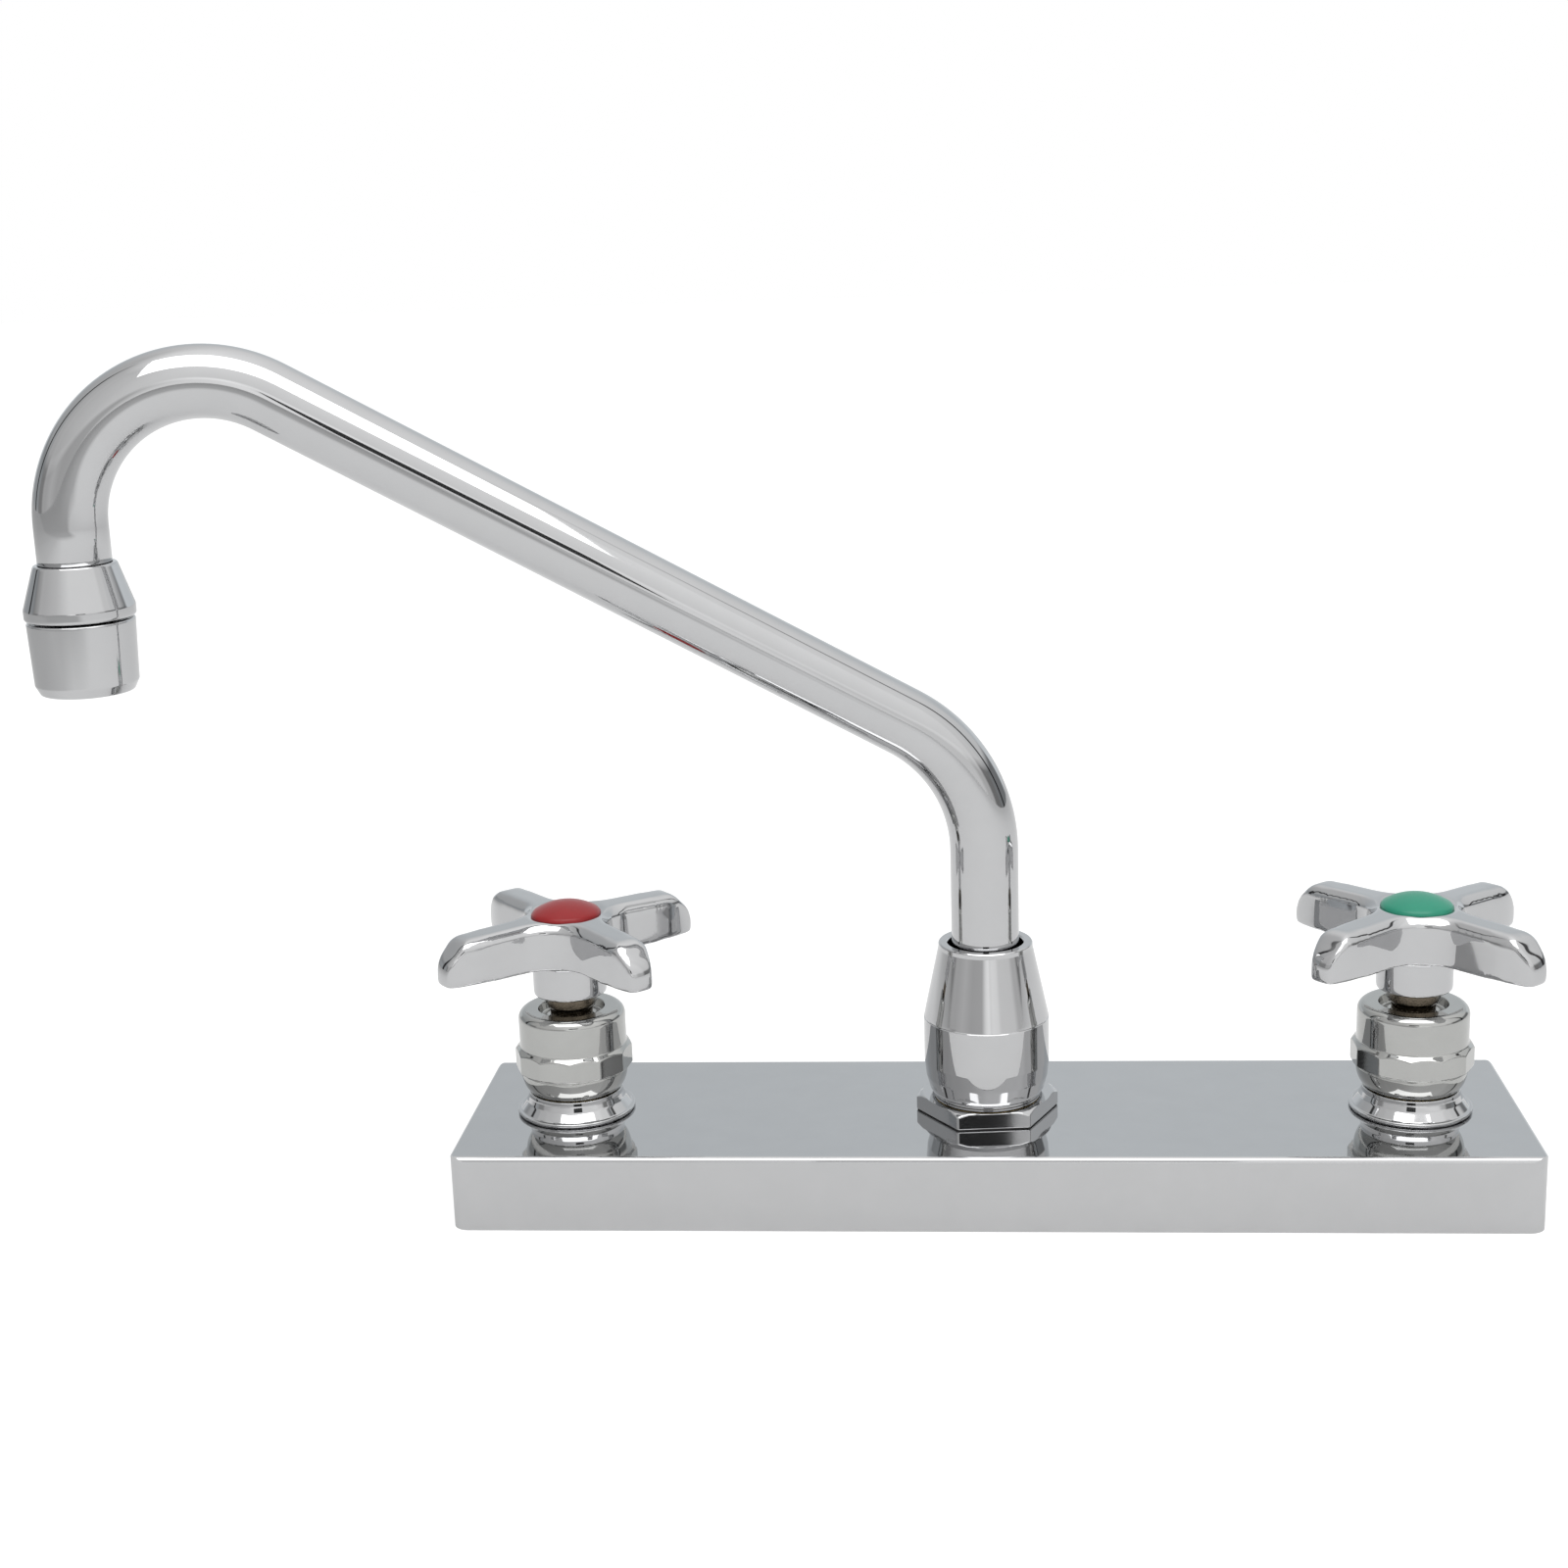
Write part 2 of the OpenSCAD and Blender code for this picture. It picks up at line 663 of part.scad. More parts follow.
// The turned disc that the arms are cut from, with round ends
module handle_disc() {
    top_centre = [handle_r - tip_round, arm_top - tip_round];
    low_centre = [handle_r - tip_low_round, arm_bottom + tip_low_round];
    rotate_extrude() {
        translate([0, arm_bottom]) square([low_centre.x, arm_height]);
        translate([0, low_centre.y]) square([handle_r, top_centre.y - low_centre.y]);
        translate([0, arm_bottom]) square([top_centre.x, arm_height]);
        intersection() {
            translate(top_centre) circle(r = tip_round);
            translate(top_centre) square(tip_round);
        }
        intersection() {
            translate(low_centre) circle(r = tip_low_round);
            translate([low_centre.x, arm_bottom]) square(tip_low_round);
        }
    }
}

module handle(side, angle) {
    color("lightgray") at_valve(side) difference() {
        union() {
            rotate([0, 0, angle + quarter / 2]) difference() {
                handle_disc();
                for (turn = [0 : quarter : full_turn - 1]) rotate([0, 0, turn]) handle_hollow();
            }
            bore(skirt_r, skirt_bottom, arm_bottom + arm_height / 2);
        }
        bore(stem_spline_r + fit_gap, skirt_bottom - over, socket_top);
        bore(screw_r + fit_gap, skirt_bottom, arm_top);
        bore(recess_r, recess_floor, arm_top + over);
        bore(button_spigot_r + fit_gap, button_seat - button_spigot_height, arm_top + over);
        bore(button_r + fit_gap, button_seat, arm_top + over);
    }
}

module handle_screw(side) {
    color("silver") at_valve(side) {
        bore(screw_head_r, recess_floor + face_gap, recess_floor + face_gap + screw_head_height);
        bore(screw_r, stem_top - screw_length + fit_gap, recess_floor + screw_head_height);
    }
}

module button(side, shade) {
    color(shade) at_valve(side) {
        bore(button_spigot_r, button_base - button_spigot_height + fit_gap, button_base + button_rim);
        bore(button_r, button_base, button_base + button_rim);
        intersection() {
            translate([0, 0, button_base + button_rim + button_dome - dome_r]) sphere(r = dome_r);
            bore(button_r, button_base, button_base + button_rim + button_dome + over);
        }
    }
}

module rubber_washer(side) {
    color("black") at_valve(side)
        ring(washer_r, shank_r + fit_gap, nut_top - rubber_thickness, rubber_thickness);
}

module steel_washer(side) {
    color("darkgray") at_valve(side)
        ring(washer_r, shank_r + fit_gap, nut_top - rubber_thickness - steel_thickness, steel_thickness);
}

module shank_nut(side) {
    top = nut_top - rubber_thickness - steel_thickness;
    flat = shank_nut_r * cos(half_turn / hex_faces);
    bevel = (shank_nut_r - flat) / 2;
    color("goldenrod") at_valve(side) difference() {
        intersection() {
            translate([0, 0, top - shank_nut_height])
                cylinder(r = shank_nut_r, h = shank_nut_height, $fn = hex_faces);
            rotate_extrude() polygon([[0, top - shank_nut_height], [flat, top - shank_nut_height],
                [shank_nut_r, top - shank_nut_height + bevel], [shank_nut_r, top], [0, top]]);
        }
        bore(shank_r + fit_gap, top - shank_nut_height - over, top + over);
    }
}

module spout_body() {
    color("goldenrod") difference() {
        union() {
            bore(post_body_r, 0, cover_under);
            bore(post_r, cover_under - over, post_top);
        }
        bore(post_bore, chamber_floor, post_top + over);
        for (side = [hot, cold]) {
            translate([0, 0, cross_level]) rotate([0, side * quarter, 0])
                cylinder(r = cross_r - cross_wall, h = post_body_r + over);
            translate([side * (post_body_r - cross_insert), 0, cross_level]) rotate([0, side * quarter, 0])
                cylinder(r = cross_r + fit_gap, h = cross_insert + over);
        }
    }
}

module post_locknut() {
    flat = post_nut_r * cos(half_turn / hex_faces);
    bevel = (post_nut_r - flat) / 2;
    color("silver") difference() {
        intersection() {
            translate([0, 0, cover_height]) rotate([0, 0, post_nut_angle])
                cylinder(r = post_nut_r, h = post_nut_height, $fn = hex_faces);
            rotate_extrude() polygon([[0, cover_height], [post_nut_r, cover_height],
                [post_nut_r, post_nut_top - bevel], [flat + bevel / 2, post_nut_top], [0, post_nut_top]]);
        }
        bore(post_r + fit_gap, cover_height - over, post_nut_top + over);
    }
}

// The spout nut's outline is a bowl, a straight part and a cone drawn in to the lip
module spout_nut() {
    color("lightgray") rotate_extrude() polygon([
        [post_r + fit_gap, nut_foot], [nut_foot_r, nut_foot], [spout_nut_r, nut_band_low],
        [spout_nut_r, nut_band_high], [spout_nut_top_r, spout_nut_top - nut_lip],
        [spout_nut_top_r - nut_lip, spout_nut_top], [spout_nut_hole_r, spout_nut_top],
        [spout_nut_hole_r, nut_ledge], [post_r + fit_gap, nut_ledge]]);
}

module spout_bearing() {
    color("white") ring(post_r - fit_gap, spout_r + fit_gap, bearing_bottom, bearing_height);
}

// The wall of the spout's tube, cut square across
module tube_section() {
    difference() {
        circle(r = spout_r);
        circle(r = spout_bore);
    }
}

module spout_tube() {
    color("gainsboro") {
        rotate([0, 0, half_turn + spout_rest_angle]) {
            translate([0, 0, tube_bottom]) linear_extrude(riser_top - tube_bottom)
                rotate([0, 0, half_turn]) tube_section();
            translate([outlet_out, 0, tube_end]) linear_extrude(bend_centre_up - tube_end) tube_section();
        }
        spout_plane() {
            translate([lower_bend_r, riser_top]) mirror([1, 0, 0])
                rotate_extrude(angle = lower_turn) translate([lower_bend_r, 0]) tube_section();
            translate([arm_start_out, arm_start_up]) rotate([0, 0, arm_slope]) rotate([0, quarter, 0])
                linear_extrude(arm_length) rotate([0, 0, quarter]) tube_section();
            translate([bend_centre_out, bend_centre_up])
                rotate_extrude(angle = upper_turn) translate([upper_bend_r, 0]) tube_section();
        }
    }
}

// The turned end of the spout, which carries its two seals and its collar
module spout_bush() {
    color("goldenrod") difference() {
        union() {
            bore(bush_r, bush_bottom, bush_top);
            bore(bush_flange_r, bush_flange_bottom, bush_top);
        }
        bore(spout_bore, bush_bottom - over, tube_bottom + over);
        bore(spout_r + run_gap, tube_bottom - face_gap, bush_top + over);
        for (share = seal_levels_share) translate([0, 0, bush_bottom + share * (tube_bottom - bush_bottom)])
            ring(bush_r + over, seal_groove_r, -seal_groove_half, 2 * seal_groove_half);
    }
}

module spout_seals() {
    color("black") for (share = seal_levels_share)
        translate([0, 0, bush_bottom + share * (tube_bottom - bush_bottom)])
            rotate_extrude() translate([seal_r, 0]) circle(r = seal_cord);
}

module outlet_collar() {
    color("lightgray") at_outlet() rotate_extrude() polygon([
        [spout_r + run_gap, collar_top], [collar_top_r, collar_top],
        [collar_r, collar_bottom + 2 * collar_lip], [collar_r, collar_bottom + collar_lip / 2],
        [collar_r - collar_lip / 2, collar_bottom], [shell_neck_r + fit_gap, collar_bottom],
        [shell_neck_r + fit_gap, tube_end], [spout_r + run_gap, tube_end]]);
}

module aerator_shell() {
    color("lightgray") at_outlet() rotate_extrude() polygon([
        [shell_bore, shell_neck_top], [shell_neck_r, shell_neck_top], [shell_neck_r, shell_top],
        [shell_r - fit_gap, shell_top], [shell_r, shell_top - fit_gap],
        [shell_low_r, shell_bottom + shell_bevel], [shell_low_r - shell_bevel / 2, shell_bottom],
        [shell_mouth_r, shell_bottom], [shell_mouth_r, shell_bottom + shell_lip],
        [shell_bore, shell_bottom + shell_lip]]);
}

module aerator_washer() {
    color("black") at_outlet()
        ring(shell_neck_r - fit_gap, spout_bore, shell_neck_top + face_gap,
            outlet_washer_space - 2 * face_gap);
}

// The plastic insert, a cup whose floor breaks the water into jets
module aerator_insert() {
    color("white") at_outlet() difference() {
        bore(insert_r, insert_bottom, insert_top);
        bore(insert_r - insert_wall, insert_bottom + insert_floor, insert_top + over);
        bore(jet_r, insert_bottom - over, insert_top);
        for (row = [1 : jet_rings], k = [0 : jets_a_ring * row - 1])
            rotate([0, 0, k * full_turn / (jets_a_ring * row)])
            translate([row * jet_pitch, 0, 0]) bore(jet_r, insert_bottom - over, insert_top);
    }
}

// The strainer above the insert
module aerator_screen() {
    half = floor(insert_r / screen_pitch);
    color("darkgray") at_outlet() difference() {
        bore(insert_r, screen_bottom, screen_bottom + screen_height);
        for (row = [-half + 1 : half - 1]) {
            reach = sqrt(insert_r * insert_r - pow(row * screen_pitch, 2)) - insert_wall;
            translate([-reach, row * screen_pitch - screen_slot / 2, screen_bottom - over])
                cube([2 * reach, screen_slot, screen_height + 2 * over]);
        }
    }
}

cover();
base_gasket();
spout_body();
post_locknut();
spout_nut();
spout_bearing();
spout_tube();
spout_bush();
spout_seals();
outlet_collar();
aerator_shell();
aerator_washer();
aerator_insert();
aerator_screen();
valve_body(hot);  // hot_valve_body
valve_body(cold);  // cold_valve_body
cross_tube(hot);  // hot_cross_tube
cross_tube(cold);  // cold_cross_tube
flange_nut(hot);  // hot_flange_nut
flange_nut(cold);  // cold_flange_nut
bonnet(hot, hot_bonnet_angle);  // hot_bonnet
bonnet(cold, cold_bonnet_angle);  // cold_bonnet
bonnet_washer(hot);  // hot_bonnet_washer
bonnet_washer(cold);  // cold_bonnet_washer
cartridge(hot);  // hot_cartridge
cartridge(cold);  // cold_cartridge
cartridge_seal(hot);  // hot_cartridge_seal
cartridge_seal(cold);  // cold_cartridge_seal
fixed_disc(hot);  // hot_fixed_disc
fixed_disc(cold);  // cold_fixed_disc
turning_disc(hot);  // hot_turning_disc
turning_disc(cold);  // cold_turning_disc
stem(hot);  // hot_stem
stem(cold);  // cold_stem
stem_seal(hot);  // hot_stem_seal
stem_seal(cold);  // cold_stem_seal
stem_clip(hot);  // hot_stem_clip
stem_clip(cold);  // cold_stem_clip
handle(hot, hot_handle_angle);  // hot_handle
handle(cold, cold_handle_angle);  // cold_handle
handle_screw(hot);  // hot_handle_screw
handle_screw(cold);  // cold_handle_screw
button(hot, "firebrick");  // hot_button
button(cold, "seagreen");  // cold_button
rubber_washer(hot);  // hot_rubber_washer
rubber_washer(cold);  // cold_rubber_washer
steel_washer(hot);  // hot_steel_washer
steel_washer(cold);  // cold_steel_washer
shank_nut(hot);  // hot_shank_nut
shank_nut(cold);  // cold_shank_nut
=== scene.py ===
import json
import math

import bmesh
import bpy
from mathutils import Matrix, Vector


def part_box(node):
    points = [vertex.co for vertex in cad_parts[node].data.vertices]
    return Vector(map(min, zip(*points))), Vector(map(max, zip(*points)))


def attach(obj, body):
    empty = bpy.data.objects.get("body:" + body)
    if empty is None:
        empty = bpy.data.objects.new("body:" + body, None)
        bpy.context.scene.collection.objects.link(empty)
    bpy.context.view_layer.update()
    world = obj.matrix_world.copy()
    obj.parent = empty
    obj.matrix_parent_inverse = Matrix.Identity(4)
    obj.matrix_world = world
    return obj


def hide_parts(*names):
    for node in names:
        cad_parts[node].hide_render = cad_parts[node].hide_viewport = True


# The looks of a deck-mount faucet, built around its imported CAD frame. Lengths are in millimetres unless a
# comment says metres, and angles in degrees unless a comment says radians.
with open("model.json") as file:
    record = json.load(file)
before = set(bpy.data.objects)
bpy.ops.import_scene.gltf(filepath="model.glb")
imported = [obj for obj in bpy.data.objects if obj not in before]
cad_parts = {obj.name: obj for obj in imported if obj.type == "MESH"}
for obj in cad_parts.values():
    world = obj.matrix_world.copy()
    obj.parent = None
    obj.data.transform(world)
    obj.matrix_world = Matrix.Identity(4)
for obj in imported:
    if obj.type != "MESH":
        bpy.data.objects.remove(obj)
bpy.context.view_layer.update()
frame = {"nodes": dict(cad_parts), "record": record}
scene = bpy.context.scene
MM = 0.001
# In radians
FULL_TURN = 2 * math.pi


def foot(node):
    """The lowest level of a CAD node."""
    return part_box(node)[0][2] / MM


def top(node):
    """The highest level of a CAD node."""
    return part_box(node)[1][2] / MM


# The camera that the photograph's edges fit
PHOTO_WIDTH_PX = 1600
FOCAL_LENGTH_PX = 2336
CAMERA_PLACE = (-1.8, -527.1, 231.9)
CAMERA_YAW = -4.933
CAMERA_PITCH_DOWN = 13.94
CAMERA_ROLL = 1.94
SENSOR_WIDTH = 36
NEAREST_SEEN, FARTHEST_SEEN = 20, 60000


def camera():
    yaw, pitch, roll = (math.radians(angle) for angle in (CAMERA_YAW, CAMERA_PITCH_DOWN, CAMERA_ROLL))
    forward = Vector((math.sin(yaw) * math.cos(pitch), math.cos(yaw) * math.cos(pitch), -math.sin(pitch)))
    right = Vector((math.cos(yaw), -math.sin(yaw), 0))
    down = forward.cross(right)
    across = math.cos(roll) * right + math.sin(roll) * down
    below = -math.sin(roll) * right + math.cos(roll) * down
    data = bpy.data.cameras.new("camera")
    data.sensor_width = SENSOR_WIDTH
    data.lens = SENSOR_WIDTH * FOCAL_LENGTH_PX / PHOTO_WIDTH_PX
    data.clip_start, data.clip_end = NEAREST_SEEN * MM, FARTHEST_SEEN * MM
    obj = bpy.data.objects.new("camera", data)
    turn = Matrix((across, -below, -forward)).transposed().to_4x4()
    obj.matrix_world = Matrix.Translation(Vector(CAMERA_PLACE) * MM) @ turn
    scene.collection.objects.link(obj)
    scene.camera = obj


camera()
scene.view_settings.view_transform = "Standard"
scene.view_settings.look = "None"


# Node helpers
MIX_FACTOR, MIX_FIRST, MIX_SECOND, MIX_RESULT = 0, 6, 7, 2


def nodes_of(owner):
    owner.use_nodes = True
    tree = owner.node_tree
    tree.nodes.clear()
    return tree


def add(tree, kind, **values):
    """A node with its properties and inputs set by name."""
    node = tree.nodes.new(kind)
    for key, value in values.items():
        if hasattr(node, key):
            setattr(node, key, value)
        else:
            node.inputs[key.replace("_", " ")].default_value = value
    return node


def coordinates(tree, kind):
    """The texture coordinates of a kind, split into x, y and z."""
    split = tree.nodes.new("ShaderNodeSeparateXYZ")
    tree.links.new(tree.nodes.new("ShaderNodeTexCoord").outputs[kind], split.inputs[0])
    return split.outputs


def maths(tree, operation, *sources):
    """The result of a maths node whose inputs are sockets or numbers."""
    node = add(tree, "ShaderNodeMath", operation=operation)
    for socket, source in zip(node.inputs, sources):
        if isinstance(source, (int, float)):
            socket.default_value = source
        else:
            tree.links.new(source, socket)
    return node.outputs[0]


def ramp(tree, source, stops):
    """A tone or colour that goes straight from stop to stop as the source goes from 0 to 1."""
    node = tree.nodes.new("ShaderNodeValToRGB")
    elements = node.color_ramp.elements
    while len(elements) < len(stops):
        elements.new(0.5)
    for element, (position, value) in zip(elements, stops):
        element.position = position
        element.color = (value, value, value, 1) if isinstance(value, (int, float)) else (*value, 1)
    tree.links.new(source, node.inputs["Fac"])
    return node.outputs["Color"]


def blend(tree, factor, first, second):
    """The first colour where the factor is 0, and the second where it is 1."""
    node = add(tree, "ShaderNodeMix", data_type="RGBA")
    for place, source in ((MIX_FACTOR, factor), (MIX_FIRST, first), (MIX_SECOND, second)):
        tree.links.new(source, node.inputs[place])
    return node.outputs[MIX_RESULT]


def times(tree, first, second):
    """One colour times another."""
    node = add(tree, "ShaderNodeMix", data_type="RGBA", blend_type="MULTIPLY")
    node.inputs[MIX_FACTOR].default_value = 1.0
    tree.links.new(first, node.inputs[MIX_FIRST])
    tree.links.new(second, node.inputs[MIX_SECOND])
    return node.outputs[MIX_RESULT]


def by_ray(tree, unseen, seen, output):
    """One shader for what the camera sees straight on, and another for reflections and light."""
    mix = tree.nodes.new("ShaderNodeMixShader")
    camera_ray = tree.nodes.new("ShaderNodeLightPath").outputs["Is Camera Ray"]
    for source, socket in zip((camera_ray, unseen.outputs[0], seen.outputs[0]), mix.inputs):
        tree.links.new(source, socket)
    tree.links.new(mix.outputs[0], tree.nodes.new(output).inputs["Surface"])


# The tent that the chrome reflects. Its walls are tones by elevation
FRONT_WALL = ((-90, 1.0), (-11, 1.0), (-8, 0.58), (9, 0.58), (15, 1.0), (48, 1.15), (90, 1.3))
BACK_WALL = ((-90, 1.0), (-3, 1.0), (0, (0.70, 0.735, 0.76)), (25, (0.72, 0.755, 0.78)), (48, 1.0), (90, 1.3))
SIDE_WALL = ((-90, 1.0), (-10, 1.0), (-7, 0.06), (12, 0.06), (17, 0.85), (48, 1.0), (90, 1.3))
# Shares of the walls by bearing: the front is at 0, the left at -90 and the right at 90
FRONT_SHARE = ((-180, 0), (-90, 0), (-89, 1), (89, 1), (90, 0))
SIDE_SHARE = ((-180, 0), (-136, 0), (-130, 0.5), (-76, 0.5), (-70, 0),
              (70, 0), (76, 0.8), (130, 0.8), (136, 0))
# What multiplies the walls by bearing, each with its share by elevation: the dark seams of the tent, the
# upright streaks on the spout nut's cone, and the dimmer wall on the left
SEAMS = ((-180, 1), (-107, 1), (-106, 0.1), (-101, 0.1), (-100, 1),
         (100, 1), (101, 0.1), (106, 0.1), (107, 1))
SEAM_SHARE = ((-90, 1), (45, 1), (60, 0))
STREAKS = ((-180, 1), (-100, 1.15), (-88, 1.0), (-60, 0.97), (-45, 1.12), (-28, 0.95), (-8, 1.0), (-4, 1.5),
           (0, 1.9), (5, 2.15), (9, 1.8), (12, 1.95), (22, 1.85), (28, 1.55), (54, 1.5), (62, 1.1), (70, 1.1),
           (78, 1.5), (100, 1.4), (180, 1))
STREAK_SHARE = ((-90, 0), (-10, 0), (-8, 1), (10, 1), (16, 0))
LEFT_SHADE = ((-180, 1), (-150, 0.85), (-125, 0.66), (-60, 0.66), (-30, 0.76), (0, 1), (180, 1))
LEFT_SHARE = ((-90, 0), (8, 0), (16, 1), (55, 1), (70, 0))


def studio():
    """A white backdrop for the eye, and for the chrome a tent with a bright roof and dark side openings."""
    world = bpy.data.worlds.new("studio")
    scene.world = world
    tree = nodes_of(world)
    x, y, z = coordinates(tree, "Generated")
    # The elevation as a share of a half turn, and the bearing as a share of a full turn
    elevation = maths(tree, "MULTIPLY_ADD", maths(tree, "ARCSINE", z), 1 / math.pi, 0.5)
    bearing = maths(tree, "MULTIPLY_ADD", maths(tree, "ARCTAN2", x, maths(tree, "MULTIPLY", y, -1)),
                    0.5 / math.pi, 0.5)

    def by_elevation(stops):
        return ramp(tree, elevation, [((angle + 90) / 180, value) for angle, value in stops])

    def by_bearing(stops):
        return ramp(tree, bearing, [(angle / 360 + 0.5, value) for angle, value in stops])

    tent = blend(tree, by_bearing(FRONT_SHARE), by_elevation(BACK_WALL), by_elevation(FRONT_WALL))
    tent = blend(tree, by_bearing(SIDE_SHARE), tent, by_elevation(SIDE_WALL))
    for share, tones in ((SEAM_SHARE, SEAMS), (STREAK_SHARE, STREAKS), (LEFT_SHARE, LEFT_SHADE)):
        tent = blend(tree, by_elevation(share), tent, times(tree, tent, by_bearing(tones)))
    unseen = add(tree, "ShaderNodeBackground", Strength=1.0)
    tree.links.new(tent, unseen.inputs["Color"])
    seen = add(tree, "ShaderNodeBackground", Color=(1, 1, 1, 1), Strength=1.0)
    by_ray(tree, unseen, seen, "ShaderNodeOutputWorld")


studio()


# The floor's paper, in metres: its reflected tone by x, near the faucet and far out before it, and the
# share of the near one by y. It is paler before the faucet than to its left. This grading is painted shade:
# the paper is darker to the left and far out
FLOOR_REACH = 6.0
NEAR_PAPER_SHADE = ((-0.8, 0.52), (-0.48, 0.58), (-0.28, 0.74))
FAR_PAPER_SHADE = ((-0.8, 0.45), (0.04, 0.46), (0.24, 0.74))
NEAR_SHARE = ((-0.76, 0), (-0.52, 1))
RAMP_SPAN = 2.0
RAMP_START_X, RAMP_START_Y = -1.0, -2.0
PAPER_ROUGHNESS = 0.8
SEEN_TONE, SEEN_GLOW = (0.35, 0.35, 0.35, 1), 0.75


def floor():
    """A sheet of paper, which the camera itself sees as a white sweep."""
    mesh = bpy.data.meshes.new("floor")
    reach = FLOOR_REACH
    mesh.from_pydata([(-reach, -reach, 0), (reach, -reach, 0), (reach, reach, 0), (-reach, reach, 0)], [],
                     [(0, 1, 2, 3)])
    obj = bpy.data.objects.new("floor", mesh)
    scene.collection.objects.link(obj)
    mat = bpy.data.materials.new("floor")
    tree = nodes_of(mat)
    x, y, _ = coordinates(tree, "Object")

    def along(source, start, stops):
        position = maths(tree, "MULTIPLY_ADD", source, 1 / RAMP_SPAN, -start / RAMP_SPAN)
        return ramp(tree, position, [((place - start) / RAMP_SPAN, value) for place, value in stops])

    paper = add(tree, "ShaderNodeBsdfPrincipled", Roughness=PAPER_ROUGHNESS)
    # The paper's tone carries painted shade, darker to the left and far out before the faucet
    tone = blend(tree, along(y, RAMP_START_Y, NEAR_SHARE), along(x, RAMP_START_X, FAR_PAPER_SHADE),
                 along(x, RAMP_START_X, NEAR_PAPER_SHADE))
    tree.links.new(tone, paper.inputs["Base Color"])
    sweep = add(tree, "ShaderNodeBsdfPrincipled", Base_Color=SEEN_TONE, Roughness=PAPER_ROUGHNESS,
                Specular_IOR_Level=0, Emission_Color=(1, 1, 1, 1), Emission_Strength=SEEN_GLOW)
    by_ray(tree, paper, sweep, "ShaderNodeOutputMaterial")
    mesh.materials.append(mat)


floor()


# The light over the faucet, a little before it
ROOF_LIGHT_PLACE = (30, -450, 1350)
ROOF_LIGHT_AIM = (0, 0, 100)
ROOF_LIGHT_SIZE = (1500, 900)
ROOF_LIGHT_WATTS = 9.5


def roof_light():
    data = bpy.data.lights.new("roof_light", "AREA")
    data.shape = "RECTANGLE"
    data.size, data.size_y = (side * MM for side in ROOF_LIGHT_SIZE)
    data.energy = ROOF_LIGHT_WATTS
    obj = bpy.data.objects.new("roof_light", data)
    place = Vector(ROOF_LIGHT_PLACE) * MM
    obj.location = place
    obj.rotation_euler = (Vector(ROOF_LIGHT_AIM) * MM - place).to_track_quat("-Z", "Y").to_euler()
    scene.collection.objects.link(obj)


roof_light()


# Materials. Grains are noise cells in a metre
BUMP_DEPTH = 0.2
COAT_ROUGHNESS = 0.05
LOW_NOISE, HIGH_NOISE = 0.3, 0.7
FINISHES = {
    "chrome_plate": dict(colour=(0.55, 0.552, 0.558), metallic=1, roughness=0.045, spread=0.25, grain=120,
                         bump=0.03, bump_grain=40, mottle=0.015),
    "cast_chrome": dict(colour=(0.468, 0.47, 0.458), metallic=1, roughness=0.06, spread=0.3, grain=120,
                        bump=0.05, bump_grain=60, mottle=0.03),
    "rough_brass": dict(colour=(0.72, 0.56, 0.28), metallic=1, roughness=0.38, spread=0.3, grain=400,
                        bump=0.5, bump_grain=1200),
    "stem_brass": dict(colour=(0.15, 0.125, 0.095), metallic=1, roughness=0.24, spread=0.3, grain=600,
                       bump=0.3, bump_grain=2000, mottle=0.2),
    "copper_tube": dict(colour=(0.78, 0.45, 0.3), metallic=1, roughness=0.25, spread=0.3, grain=300,
                        bump=0.2, bump_grain=900),
    "ceramic": dict(colour=(0.9, 0.89, 0.86), roughness=0.2, grain=800),
    "black_rubber": dict(colour=(0.03, 0.03, 0.03), roughness=0.6, grain=900, bump=0.5, bump_grain=2500),
    "red_fibre": dict(colour=(0.45, 0.12, 0.08), roughness=0.75, grain=900, bump=0.6, bump_grain=3000),
    "stainless": dict(colour=(0.6, 0.6, 0.6), metallic=1, roughness=0.3, spread=0.3, grain=600,
                      bump=0.2, bump_grain=1500),
    "white_nylon": dict(colour=(0.85, 0.85, 0.83), roughness=0.45, grain=600, bump=0.2, bump_grain=1500),
    "red_button": dict(colour=(0.27, 0.012, 0.014), roughness=0.32, spread=0.15, grain=600, bump=0.02,
                       bump_grain=80, mottle=0.03, coat=0.08, specular=0.3),
    "green_button": dict(colour=(0.02, 0.23, 0.145), roughness=0.32, spread=0.15, grain=600, bump=0.02,
                         bump_grain=80, mottle=0.03, coat=0.08, specular=0.3),
}


